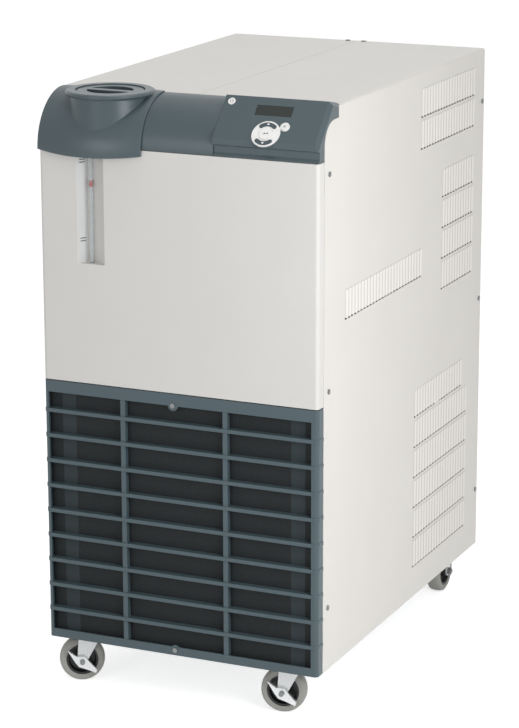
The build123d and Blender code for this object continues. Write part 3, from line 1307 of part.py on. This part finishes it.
# Swivel casters at the front
for side, hand in (("left", -1), ("right", 1)):
    yaw = radians(CASTER_YAW[side])
    along = Vector(cos(yaw), sin(yaw), 0)
    outward = Vector(sin(yaw), -cos(yaw), 0)
    pivot = Vector(hand * CASTER_X, CASTER_FRONT_Y, 0)
    centre = pivot - along * TRAIL + Vector(0, 0, WHEEL_R)
    wheel = wheel_axes(centre, outward, along)

    with BuildPart() as caster_plate:
        with BuildSketch(Plane.XY.offset(PAN_Z)):
            with Locations((pivot.X, pivot.Y)):
                Rectangle(62.0, 62.0)
        extrude(amount=-PLATE_T)
        with BuildSketch(Plane.XY.offset(PAN_Z - PLATE_T)):
            with Locations((pivot.X, pivot.Y)):
                Circle(RACE_R)
        extrude(amount=-(PAN_Z - PLATE_T - CROWN_Z - CROWN_T - SEAT))
        with BuildSketch(Plane.XY.offset(PAN_Z - PLATE_T)):
            with Locations((pivot.X, pivot.Y)):
                Circle(KINGPIN_R)
        extrude(amount=-(PAN_Z - PLATE_T - CROWN_Z + 1.5))
        with BuildSketch(Plane.XY.offset(CROWN_Z - SEAT)):
            with Locations((pivot.X, pivot.Y)):
                Circle(KINGPIN_R + 3.5)
        extrude(amount=-2.5)
    caster_plate.part.label = f"caster_plate_{side}"
    export_step(caster_plate.part, f"parts/caster_plate_{side}.step")

    with BuildPart() as caster_fork:
        with BuildSketch(Plane(origin=(pivot.X, pivot.Y, CROWN_Z), x_dir=along, z_dir=(0, 0, 1))):
            Circle(RACE_R + 2.0)
            with Locations((-6.0, 0)):
                Rectangle(34.0, 2 * (LEG_GAP + LEG_T))
            Circle(KINGPIN_R + 0.08, mode=Mode.SUBTRACT)
        extrude(amount=CROWN_T)
        for start in (LEG_GAP, -LEG_GAP - LEG_T):
            leg_plane = Plane(origin=pivot + outward * start, x_dir=along, z_dir=outward)
            with BuildSketch(leg_plane):
                with BuildLine():
                    leg_outline(8.5, -TRAIL - 5.0, 11.0, CROWN_Z + CROWN_T, (-TRAIL, WHEEL_R))
                make_face()
                with Locations((-TRAIL, WHEEL_R)):
                    Circle(AXLE_R + 0.02, mode=Mode.SUBTRACT)
            extrude(amount=LEG_T)
    caster_fork.part.label = f"caster_fork_{side}"
    export_step(caster_fork.part, f"parts/caster_fork_{side}.step")

    caster_axle = axle_bolt(wheel, 11.0)
    caster_axle.part.label = f"caster_axle_{side}"
    export_step(caster_axle.part, f"parts/caster_axle_{side}.step")

    caster_hub = wheel_hub(wheel)
    caster_hub.part.label = f"caster_hub_{side}"
    export_step(caster_hub.part, f"parts/caster_hub_{side}.step")

    caster_tyre = wheel_tyre(wheel)
    caster_tyre.part.label = f"caster_tyre_{side}"
    export_step(caster_tyre.part, f"parts/caster_tyre_{side}.step")

    lever_plane = Plane(
        origin=centre + outward * (LEG_GAP + LEG_T + SEAT), x_dir=along, z_dir=outward
    )
    with BuildPart() as brake_lever:
        with BuildSketch(lever_plane):
            with BuildLine():
                Polyline(
                    (-24.0, 19.5),
                    (-9.5, 9.0),
                    (4.0, 8.5),
                    (12.0, -1.0),
                    (24.0, -15.0),
                    (22.0, -20.0),
                    (8.0, -14.0),
                    (-6.0, -9.0),
                    (-12.0, -1.0),
                    close=True,
                )
            make_face()
            Circle(AXLE_R + 0.08, mode=Mode.SUBTRACT)
        extrude(amount=6.0)
    brake_lever.part.label = f"brake_lever_{side}"
    export_step(brake_lever.part, f"parts/brake_lever_{side}.step")

# Rigid casters at the rear
rear_axle_bolts = []
for side, hand in (("left", -1), ("right", 1)):
    centre = Vector(hand * CASTER_X, CASTER_REAR_Y, WHEEL_R)
    wheel = wheel_axes(centre, Vector(hand, 0, 0), Vector(0, 1, 0))
    with BuildPart() as rear_fork:
        with BuildSketch(Plane.XY.offset(PAN_Z)):
            with Locations((centre.X, centre.Y)):
                Rectangle(62.0, 62.0)
        extrude(amount=-PLATE_T)
        for start in (LEG_GAP, -LEG_GAP - LEG_T):
            with BuildSketch(Plane.YZ.offset(centre.X + start)):
                with BuildLine():
                    leg_outline(
                        8.5, CASTER_REAR_Y - 16.0, CASTER_REAR_Y + 16.0, PAN_Z - PLATE_T, (CASTER_REAR_Y, WHEEL_R)
                    )
                make_face()
                with Locations((CASTER_REAR_Y, WHEEL_R)):
                    Circle(AXLE_R + 0.02, mode=Mode.SUBTRACT)
            extrude(amount=LEG_T)
    rear_fork.part.label = f"rear_fork_{side}"
    export_step(rear_fork.part, f"parts/rear_fork_{side}.step")

    rear_hub = wheel_hub(wheel)
    rear_hub.part.label = f"rear_hub_{side}"
    export_step(rear_hub.part, f"parts/rear_hub_{side}.step")

    rear_tyre = wheel_tyre(wheel)
    rear_tyre.part.label = f"rear_tyre_{side}"
    export_step(rear_tyre.part, f"parts/rear_tyre_{side}.step")
    rear_axle_bolts.append(axle_bolt(wheel, 7.0).part)

rear_axles = Part(children=rear_axle_bolts)
rear_axles.label = "rear_axles"
export_step(rear_axles, "parts/rear_axles.step")
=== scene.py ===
import json
import math

import bpy
import numpy as np
from mathutils import Matrix, Vector


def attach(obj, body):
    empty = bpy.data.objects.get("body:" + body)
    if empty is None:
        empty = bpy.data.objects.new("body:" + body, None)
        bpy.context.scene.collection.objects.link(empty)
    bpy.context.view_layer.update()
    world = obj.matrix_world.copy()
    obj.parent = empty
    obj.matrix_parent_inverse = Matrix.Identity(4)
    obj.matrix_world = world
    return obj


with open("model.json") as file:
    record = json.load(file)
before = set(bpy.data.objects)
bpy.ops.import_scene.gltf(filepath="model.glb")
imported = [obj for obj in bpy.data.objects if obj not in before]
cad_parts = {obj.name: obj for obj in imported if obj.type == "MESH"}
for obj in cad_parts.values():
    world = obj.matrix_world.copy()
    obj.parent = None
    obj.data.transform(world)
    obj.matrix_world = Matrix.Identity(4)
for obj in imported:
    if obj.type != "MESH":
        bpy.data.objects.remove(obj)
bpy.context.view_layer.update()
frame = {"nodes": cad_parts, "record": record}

# Case, in metres like every length here
HALF_W, FRONT_Y, CASE_TOP = 0.239, -0.3685, 0.987
SIDE_Y = FRONT_Y + 0.022
BAND_BACK = SIDE_Y + 0.0623
COWL_Z = CASE_TOP - 0.0785

# Pressed vanes of the louvres: heights over the case side between which the painted shade of the foot comes in,
# and then the painted highlight on the raised part; and how far each darkens or lightens the paint
VANE_FOOT, VANE_RAISED = (0.00005, 0.00012), (0.0005, 0.0008)
FOOT_SHADE, VANE_HIGHLIGHT = -0.16, 0.30

# Sloped control face: its top edge and the crease at its foot, each as (y, z)
FACE_TOP = np.array([BAND_BACK - 0.032, CASE_TOP + 0.0081])
CREASE = np.array([FRONT_Y - 0.002, COWL_Z + 0.0274])
FACE_UP = (FACE_TOP - CREASE) / np.linalg.norm(FACE_TOP - CREASE)
FACE_OUT = np.array([-FACE_UP[1], FACE_UP[0]])

# Keypad: centres of its disc, satellite and power key as (x, way up the slope), heights over the face
KEYPAD, SATELLITE, POWER_KEY = (0.1485, -0.0665), (0.1757, -0.0516), (0.075, -0.0115)
ARROW_OFFSET, ARROW_SIZE = 0.0172, 0.0024
PLATE_TOP, KEY_TOP, POWER_TOP = 0.00178, 0.0027, 0.0009
PRINT_T, CROSSING_LIFT = 0.0001, 0.00002
SIGN_POINTS, WEB_POINTS = 40, 13

# Signs, about their keys: radii of the power ring, and where it starts and how far it goes in degrees; half
# the width of the bars, foot and top of the upright one, and half the length of the crossed ones
RING_OUTER, RING_INNER, RING_START, RING_SWEEP = 0.0028, 0.0022, 120, 300
BAR_HALF_W, BAR_FOOT, BAR_TOP, CROSS_HALF_L = 0.0003, 0.0008, 0.0034, 0.0024

# Web between the disc and its satellite: where it starts and ends, half its width, and how far that narrows
WEB_START, WEB_END, WEB_HALF_W, WEB_WAIST = 0.0215, 0.0062, 0.0036, 0.0016

# Filter screen: weave, and the middle, width and strength of the paler strip near each side
WEAVE_PITCH, THREAD_COLOUR = 0.0024, (33, 40, 43)
SIDE_STRIP_X, SIDE_STRIP_W, SIDE_STRIP_SHARE, SIDE_STRIP_COLOUR = 0.2005, 0.024, 0.55, (58, 69, 73)

# Sight channel: left edge, across and depth of its slanted wall, foot; then the strip and the marks on it
CHANNEL_X0, CHANNEL_CORNER, CHANNEL_D, CHANNEL_Z0 = -0.173, 0.0105, 0.0186, 0.720
STRIP_FRONT_GAP, STRIP_BACK_GAP, STRIP_FOOT_GAP, STRIP_TOP, STRIP_T = 0.0015, 0.002, 0.002, 0.905, 0.0004
LEVELS, MARK_SPACING, MARK_HALF_H, MARK_T = (0.7568, 0.8826), 0.0022, 0.0007, 0.0002
MARK_FRONT_GAP, MARK_BACK_GAP = 0.005, 0.006

# All finishes: scale of the colour clouds, depth of the relief, samples of a rounded edge; the cosines of the
# turn of an edge's normal at which wear begins and is full, and how much paler the colour is there
CLOUD_SCALE, RELIEF_DEPTH, EDGE_SAMPLES, PLASTIC_IOR = 9.0, 0.0002, 4, 1.46
WEAR_BEGINS, WEAR_FULL, WEAR_GAIN, WEAR_ADD = 0.995, 0.86, 1.25, 22

# Camera that the case edges of the photograph were fitted with, angles in degrees
CAMERA_PLACE = (1.8032, -4.0740, 1.6550)
CAMERA_TURN, CAMERA_RISE, CAMERA_ROLL = 24.17, 14.72, -0.13
FOCAL_PIXELS, PHOTO_WIDTH, SENSOR = 2717.8, 519.0, 36.0

# Stage: a strength of 1 is white
FLOOR_HALF, FLOOR_COLOUR, FLOOR_ROUGH, FLOOR_LIFT = 14.0, (0.86, 0.86, 0.86, 1), 0.9, 0.62
SKY_LIGHT = 0.45
LAMPS = {
    "key_lamp": dict(place=(1.3, -1.0, 1.0), aim=(0.24, -0.30, 0.55), size=0.7, power=13.0),
    "fill_lamp": dict(place=(-0.9, -3.4, 1.4), aim=(0, -0.3, 0.5), size=1.2, power=14.0),
    "top_lamp": dict(place=(0.2, 0.1, 3.2), aim=(0, 0, 0.5), size=1.6, power=17.0),
}


def linear(*rgb):
    """Colour as written on screen, 0 to 255, as the renderer's linear values."""
    c = np.asarray(rgb, float) / 255.0
    return tuple(np.where(c <= 0.04045, c / 12.92, ((c + 0.055) / 1.055) ** 2.4)) + (1.0,)


# Shader nodes
def fill(tree, socket, what):
    """Links a socket to the one that is given, or sets it to a plain value."""
    if isinstance(what, bpy.types.NodeSocket):
        tree.links.new(what, socket)
    else:
        socket.default_value = what


def node(tree, kind, *in_order, **named):
    """New shader node. Named values are first its settings, then its inputs with _ for a space.

    The values that have no name go to its inputs in their order.
    """
    new = tree.nodes.new("ShaderNode" + kind)
    for key, what in named.items():
        if hasattr(new, key):
            setattr(new, key, what)
        else:
            fill(tree, new.inputs[key.replace("_", " ")], what)
    for socket, what in zip(new.inputs, in_order):
        fill(tree, socket, what)
    return new


def blend_colour(tree, share, first, second):
    """Colour that goes from the first to the second as the share goes from 0 to 1."""
    return node(tree, "Mix", data_type="RGBA", Factor=share, A=first, B=second).outputs["Result"]


def way_across(tree, place):
    """Distance of a point from the middle of the case, to either side."""
    x = node(tree, "SeparateXYZ", place).outputs["X"]
    return node(tree, "Math", x, operation="ABSOLUTE").outputs["Value"]


def screen_weave(tree, place, base):
    """Square weave of the filter, the larger of two sine waves in X and Z, and a paler strip near each side."""
    split = node(tree, "SeparateXYZ", place)
    waves = []
    for axis in "XZ":
        turn = node(tree, "Math", split.outputs[axis], 2 * math.pi / WEAVE_PITCH, operation="MULTIPLY")
        waves.append(node(tree, "Math", turn.outputs["Value"], operation="SINE").outputs["Value"])
    thread = node(tree, "Math", *waves, operation="MAXIMUM").outputs["Value"]
    thread = node(tree, "MapRange", Value=thread, From_Min=-0.2, From_Max=1.0).outputs["Result"]
    cloth = blend_colour(tree, thread, base, linear(*THREAD_COLOUR))
    strip = node(tree, "Math", way_across(tree, place), SIDE_STRIP_X, SIDE_STRIP_W / 2, operation="COMPARE")
    share = node(tree, "Math", strip.outputs["Value"], SIDE_STRIP_SHARE, operation="MULTIPLY")
    return blend_colour(tree, share.outputs["Value"], cloth, linear(*SIDE_STRIP_COLOUR))


def vane_shade_and_highlight(tree, place, base):
    """Case paint: painted shade at each pressed vane's foot, painted highlight where the vane stands out."""
    across = way_across(tree, place)
    shade = 1.0
    for (low, high), change in ((VANE_FOOT, FOOT_SHADE), (VANE_RAISED, VANE_HIGHLIGHT)):
        step = node(tree, "MapRange", Value=across, From_Min=HALF_W + low, From_Max=HALF_W + high)
        shaded = node(tree, "Math", step.outputs["Result"], change, shade, operation="MULTIPLY_ADD")
        shade = shaded.outputs["Value"]
    return node(tree, "VectorMath", base, operation="SCALE", Scale=shade).outputs["Vector"]


def worn_edges(tree, base, colour, radius, wear):
    """Paler colour where the normal of the rounded edge turns away from that of the face."""
    rounded = node(tree, "Bevel", samples=EDGE_SAMPLES, Radius=radius).outputs["Normal"]
    flat = node(tree, "NewGeometry").outputs["True Normal"]
    turn = node(tree, "VectorMath", rounded, flat, operation="DOT_PRODUCT").outputs["Value"]
    share = node(tree, "MapRange", Value=turn, From_Min=WEAR_BEGINS, From_Max=WEAR_FULL, To_Max=wear)
    paler = linear(*[min(255, c * WEAR_GAIN + WEAR_ADD) for c in colour])
    return blend_colour(tree, share.outputs["Result"], base, paler)


def finish(slot, colour, rough, metal=0.0, grain=400.0, bump=0.15, cloud=0.03, coat=0.0, wear=0.0,
           edge=0.0006, spread=0.08, pattern=None, alpha=1.0):
    """Material with colour clouds, grained gloss and relief, edges rounded by a radius, and worn paler edges.

    cloud and spread say how far colour and roughness go either way, grain is the scale of the finest noise,
    and pattern is a function that redraws the colour.
    """
    material = bpy.data.materials.new(slot)
    material.use_nodes = True
    tree = material.node_tree
    place = node(tree, "TexCoord").outputs["Object"]
    clouds = node(tree, "TexNoise", Vector=place, Scale=CLOUD_SCALE, Detail=4.0).outputs["Fac"]
    grains = node(tree, "TexNoise", Vector=place, Scale=grain, Detail=2.0).outputs["Fac"]
    low, high = 1 - cloud, 1 + cloud
    shade = node(tree, "MapRange", Value=clouds, From_Min=0.3, From_Max=0.7, To_Min=low, To_Max=high)
    base = node(tree, "VectorMath", linear(*colour)[:3], operation="SCALE", Scale=shade.outputs["Result"])
    base = base.outputs["Vector"]
    if pattern:
        base = pattern(tree, place, base)
    if wear:
        base = worn_edges(tree, base, colour, edge, wear)
    low, high = max(0.02, rough - spread), min(1.0, rough + spread)
    gloss = node(tree, "MapRange", Value=grains, To_Min=low, To_Max=high)
    relief = node(tree, "Bump", Strength=bump, Distance=RELIEF_DEPTH, Height=grains)
    if edge:
        rounded = node(tree, "Bevel", samples=EDGE_SAMPLES, Radius=edge)
        fill(tree, relief.inputs["Normal"], rounded.outputs["Normal"])
    looks = {
        "Base Color": base, "Roughness": gloss.outputs["Result"], "Normal": relief.outputs["Normal"],
        "Metallic": metal, "Coat Weight": coat, "Alpha": alpha, "IOR": PLASTIC_IOR,
    }
    for name, what in looks.items():
        fill(tree, tree.nodes["Principled BSDF"].inputs[name], what)
    return material


# Finishes, one for each material slot of the record
FINISHES = {
    # Case and mouldings
    # Case paint carries painted shade at the foot and a painted highlight on the raised part of each louvre
    # vane
    "case_paint": dict(colour=(222, 219, 214), rough=0.42, grain=900, bump=0.10, cloud=0.012, wear=0.25,
                       edge=0.0008, pattern=vane_shade_and_highlight),
    "panel_plastic": dict(colour=(216, 214, 211), rough=0.46, grain=1400, bump=0.12, cloud=0.012, wear=0.2,
                          edge=0.001),
    "band_plastic": dict(colour=(72, 86, 91), rough=0.33, grain=1200, bump=0.30, wear=0.35, edge=0.0012),
    "grille_plastic": dict(colour=(72, 88, 94), rough=0.42, grain=1200, bump=0.18, wear=0.35, edge=0.001),
    "filter_mesh": dict(colour=(3, 4, 5), rough=0.8, cloud=0.05, pattern=screen_weave),
    "screw_zinc": dict(colour=(128, 130, 132), rough=0.38, metal=1.0, grain=700, cloud=0.06),
    # Controls and sight tube
    "display_window": dict(colour=(32, 40, 38), rough=0.22, grain=300, bump=0.02, edge=0.0004),
    "keypad_white": dict(colour=(238, 238, 236), rough=0.35, grain=900, bump=0.05, cloud=0.01, wear=0.1,
                         edge=0.0004),
    "key_dark": dict(colour=(66, 78, 84), rough=0.4, grain=900, bump=0.1, cloud=0.02, wear=0.2, edge=0.0004),
    "clear_tube": dict(colour=(206, 214, 216), rough=0.08, grain=300, bump=0.0, cloud=0.01, alpha=0.16,
                       edge=0.0, spread=0.01),
    "float_red": dict(colour=(190, 24, 26), rough=0.25),
    # Frame, cooling and pumping
    "chassis_steel": dict(colour=(172, 174, 176), rough=0.38, metal=0.9, grain=260, bump=0.1, cloud=0.08),
    "galvanised": dict(colour=(166, 170, 172), rough=0.4, metal=0.85, grain=60, cloud=0.14),
    "fin_aluminium": dict(colour=(190, 192, 194), rough=0.35, metal=0.9, cloud=0.05),
    "fan_plastic": dict(colour=(30, 31, 33), rough=0.45, cloud=0.04, wear=0.2),
    "motor_paint": dict(colour=(52, 54, 57), rough=0.35, cloud=0.05, wear=0.3),
    "compressor_paint": dict(colour=(20, 20, 22), rough=0.28, coat=0.3, cloud=0.05, wear=0.2),
    "grommet_rubber": dict(colour=(26, 26, 26), rough=0.8, grain=500, bump=0.4, cloud=0.08),
    "stainless": dict(colour=(176, 176, 172), rough=0.3, metal=1.0, cloud=0.05),
    "copper_pipe": dict(colour=(184, 110, 76), rough=0.34, metal=1.0, cloud=0.1),
    "tank_plastic": dict(colour=(228, 230, 224), rough=0.5, grain=500, bump=0.2),
    "pump_paint": dict(colour=(56, 74, 92), rough=0.4, cloud=0.05, wear=0.3),
    "hose_rubber": dict(colour=(28, 28, 30), rough=0.7, grain=500, bump=0.4, cloud=0.08),
    "fitting_brass": dict(colour=(196, 178, 130), rough=0.28, metal=1.0, cloud=0.06),
    # Electrics
    "circuit_board": dict(colour=(24, 92, 50), rough=0.3, coat=0.5, cloud=0.06),
    "inlet_plastic": dict(colour=(26, 26, 27), rough=0.4, cloud=0.04, wear=0.2),
    "toggle_white": dict(colour=(228, 228, 224), rough=0.35, cloud=0.02),
    # Casters
    "caster_zinc": dict(colour=(214, 216, 217), rough=0.30, metal=0.45, grain=500, cloud=0.06, bump=0.1),
    "lever_zinc": dict(colour=(222, 224, 224), rough=0.3, metal=0.6, grain=500, cloud=0.05, bump=0.1),
    "hub_black": dict(colour=(26, 27, 28), rough=0.4, cloud=0.05, wear=0.2),
    "tyre_grey": dict(colour=(164, 163, 158), rough=0.72, grain=700, bump=0.4, cloud=0.05, wear=0.1),
}
finish_of = {slot: finish(slot, **looks) for slot, looks in FINISHES.items()}
for part in frame["record"]["subparts"]:
    materials = frame["nodes"][part["node"]].data.materials
    materials.clear()
    materials.append(finish_of[part["material_slot"]])

# Prints and thin pieces, each with the record's slot that it takes its finish from
print_white = finish("keypad_white", (242, 242, 240), 0.4, cloud=0.01, edge=0.0), "keypad_white"
strip_grey = finish("keypad_white", (206, 208, 208), 0.4, cloud=0.01, edge=0.0), "keypad_white"
print_dark = finish("key_dark", (52, 58, 62), 0.5, cloud=0.02, edge=0.0), "key_dark"


# Thin plates and prints
def plate(name, outline, low, high, place, body, look):
    """Piece of even thickness: the outline (n x 2) at two heights, closed by its ends and sides.

    The outline turns left. place maps rows of (along, up, height) to rows of (x, y, z).
    """
    n = len(outline)
    levels = np.concatenate([np.column_stack([outline, np.full(n, h)]) for h in (low, high)])
    i = np.arange(n)
    sides = np.column_stack([i, (i + 1) % n, n + (i + 1) % n, n + i])
    mesh = bpy.data.meshes.new(name)
    mesh.from_pydata(place(levels).tolist(), [], [i[::-1].tolist(), (i + n).tolist(), *sides.tolist()])
    mesh.update()
    mesh.polygons.foreach_set("use_smooth", np.zeros(len(mesh.polygons), bool))
    piece = bpy.data.objects.new(name, mesh)
    bpy.context.scene.collection.objects.link(piece)
    material, slot = look
    mesh.materials.append(material)
    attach(piece, body)


def rectangle(left, low, right, high):
    """Outline of an upright rectangle, turning left."""
    return [(left, low), (right, low), (right, high), (left, high)]


def on_face(points):
    """Places (x, way up, height) on the sloped face: its top edge plus up times way and out times height."""
    return np.column_stack([points[:, 0], FACE_TOP + points[:, 1:2] * FACE_UP + points[:, 2:] * FACE_OUT])


def sight_strip():
    """Grey strip on the slanted wall of the sight channel, with two short lines at each of two levels."""
    front = np.array([CHANNEL_X0, FRONT_Y])
    wall = np.array([CHANNEL_CORNER, CHANNEL_D])
    length = np.linalg.norm(wall)
    along = wall / length
    out = np.array([along[1], -along[0]])

    def on_wall(points):
        """Places (way in, z, height): the wall's front edge plus along times way and out times height."""
        return np.column_stack([front + points[:, :1] * along + points[:, 2:] * out, points[:, 1]])

    strip = rectangle(STRIP_FRONT_GAP, CHANNEL_Z0 + STRIP_FOOT_GAP, length - STRIP_BACK_GAP, STRIP_TOP)
    plate("sight_strip", strip, 0.0, STRIP_T, on_wall, "chassis", strip_grey)
    for i, level in enumerate(LEVELS):
        for k, shift in enumerate((-MARK_SPACING, MARK_SPACING)):
            low, high = level + shift - MARK_HALF_H, level + shift + MARK_HALF_H
            mark = rectangle(MARK_FRONT_GAP, low, length - MARK_BACK_GAP, high)
            plate(f"level_mark_{i}_{k}", mark, STRIP_T, STRIP_T + MARK_T, on_wall, "chassis", print_dark)


def sign(name, key, centre, points, top=KEY_TOP, look=print_dark, lift=0.0):
    """Print on a key: an outline about a centre, a tenth of a millimetre and a lift over the key's top."""
    plate(name, np.add(centre, points), top, top + PRINT_T + lift, on_face, key, look)


def arrows():
    """Arrow heads on the up and down keys: triangles that point away from the centre of the keypad."""
    half, foot, tip = ARROW_SIZE, 0.6 * ARROW_SIZE, 0.9 * ARROW_SIZE
    x, u = KEYPAD
    upward = [(-half, -foot), (half, -foot), (0, tip)]
    downward = [(0, -tip), (half, foot), (-half, foot)]
    sign("up_arrow", "up_key", (x, u + ARROW_OFFSET), upward, look=print_white)
    sign("down_arrow", "down_key", (x, u - ARROW_OFFSET), downward, look=print_white)


def keypad_web():
    """White web from the keypad disc to its satellite, narrowed between its ends by half a sine wave."""
    disc, satellite = np.array(KEYPAD), np.array(SATELLITE)
    along = (satellite - disc) / np.linalg.norm(satellite - disc)
    across = np.array([-along[1], along[0]])
    start, end = disc + along * WEB_START, satellite - along * WEB_END
    s = np.linspace(0.0, 1.0, WEB_POINTS)[:, None]
    middle = start + (end - start) * s
    half = (WEB_HALF_W - WEB_WAIST * np.sin(math.pi * s)) * across
    outline = np.concatenate([middle - half, (middle + half)[::-1]])
    plate("keypad_bridge", outline, 0.0, PLATE_TOP, on_face, "chassis", print_white)


def power_sign():
    """Open ring and an upright bar in its gap; the ring is an outer arc and an inner arc run backwards."""
    angle = np.radians(np.linspace(RING_START, RING_START + RING_SWEEP, SIGN_POINTS))
    arc = np.column_stack([np.cos(angle), np.sin(angle)])
    ring = np.concatenate([RING_OUTER * arc, RING_INNER * arc[::-1]])
    bar = rectangle(-BAR_HALF_W, BAR_FOOT, BAR_HALF_W, BAR_TOP)
    sign("power_ring", "power_key", POWER_KEY, ring, POWER_TOP)
    sign("power_bar", "power_key", POWER_KEY, bar, POWER_TOP)


def enter_sign():
    """Arrow to the left with its tail turned up."""
    outline = [
        (-0.0018, -0.0017), (-0.0018, -0.0005), (0.004, -0.0005), (0.004, 0.0022), (0.003, 0.0022),
        (0.003, 0.0005), (-0.0018, 0.0005), (-0.0018, 0.0017), (-0.004, 0.0),
    ]
    sign("enter_sign", "enter_key", KEYPAD, outline)


def cancel_sign():
    """Cross of two turned bars, the second a hair higher than the first so that they don't share a face."""
    bar = np.array(rectangle(-CROSS_HALF_L, -BAR_HALF_W, CROSS_HALF_L, BAR_HALF_W))
    for k, angle in enumerate(np.radians((45, -45))):
        turn = np.array([[math.cos(angle), math.sin(angle)], [-math.sin(angle), math.cos(angle)]])
        sign(f"cancel_sign_{k}", "cancel_key", SATELLITE, bar @ turn, lift=k * CROSSING_LIFT)


sight_strip()
arrows()
keypad_web()
power_sign()
enter_sign()
cancel_sign()


# Floor, light and camera
def larger(tree, first, second):
    """The larger of two values."""
    return node(tree, "Math", first, second, operation="MAXIMUM").outputs["Value"]


def pale_floor():
    """Pale floor that takes the shadow and is lifted to white for the camera and for reflections alone."""
    mesh = bpy.data.meshes.new("floor")
    corners = [(x * FLOOR_HALF, y * FLOOR_HALF, 0) for x, y in ((-1, -1), (1, -1), (1, 1), (-1, 1))]
    mesh.from_pydata(corners, [], [(0, 1, 2, 3)])
    floor = bpy.data.objects.new("floor", mesh)
    bpy.context.scene.collection.objects.link(floor)
    material = bpy.data.materials.new("floor_white")
    material.use_nodes = True
    tree = material.node_tree
    shader = tree.nodes["Principled BSDF"]
    fill(tree, shader.inputs["Base Color"], FLOOR_COLOUR)
    fill(tree, shader.inputs["Roughness"], FLOOR_ROUGH)
    ray = node(tree, "LightPath").outputs
    seen = larger(tree, ray["Is Camera Ray"], ray["Is Glossy Ray"])
    strength = node(tree, "Math", seen, FLOOR_LIFT, operation="MULTIPLY").outputs["Value"]
    lift = node(tree, "Emission", Strength=strength).outputs["Emission"]
    both = node(tree, "AddShader", shader.outputs["BSDF"], lift).outputs["Shader"]
    fill(tree, tree.nodes["Material Output"].inputs["Surface"], both)
    mesh.materials.append(material)


def studio_sky():
    """Even sky light, and white for the camera and for what glass and gloss show."""
    world = bpy.data.worlds.new("studio")
    bpy.context.scene.world = world
    world.use_nodes = True
    tree = world.node_tree
    ray = node(tree, "LightPath").outputs
    seen = larger(tree, larger(tree, ray["Is Camera Ray"], ray["Is Transmission Ray"]), ray["Is Glossy Ray"])
    strength = node(tree, "MapRange", Value=seen, To_Min=SKY_LIGHT, To_Max=1.0).outputs["Result"]
    fill(tree, tree.nodes["Background"].inputs["Color"], (1, 1, 1, 1))
    fill(tree, tree.nodes["Background"].inputs["Strength"], strength)


def lamp(name, place, aim, size, power):
    """Square soft lamp that looks from its place to its aim."""
    light = bpy.data.lights.new(name, "AREA")
    light.energy = power
    light.size = size
    holder = bpy.data.objects.new(name, light)
    way = Vector(aim) - Vector(place)
    holder.matrix_world = Matrix.Translation(place) @ way.to_track_quat("-Z", "Y").to_matrix().to_4x4()
    bpy.context.scene.collection.objects.link(holder)


def photo_camera():
    """Camera at the fitted place, turned about Z, raised and rolled by the fitted angles."""
    turn, rise, roll = (math.radians(a) for a in (CAMERA_TURN, CAMERA_RISE, CAMERA_ROLL))
    back = Vector((math.sin(turn) * math.cos(rise), -math.cos(turn) * math.cos(rise), math.sin(rise)))
    right = Vector((math.cos(turn), math.sin(turn), 0.0))
    facing = Matrix((right, back.cross(right), back)).transposed() @ Matrix.Rotation(roll, 3, "Z")
    data = bpy.data.cameras.new("camera")
    data.sensor_fit = "HORIZONTAL"
    data.sensor_width = SENSOR
    data.lens = FOCAL_PIXELS * SENSOR / PHOTO_WIDTH
    data.clip_end = 60.0
    camera = bpy.data.objects.new("camera", data)
    camera.matrix_world = Matrix.Translation(CAMERA_PLACE) @ facing.to_4x4()
    bpy.context.scene.collection.objects.link(camera)
    bpy.context.scene.camera = camera


pale_floor()
studio_sky()
for name, facts in LAMPS.items():
    lamp(name, **facts)
photo_camera()
bpy.context.scene.view_settings.view_transform = "Standard"
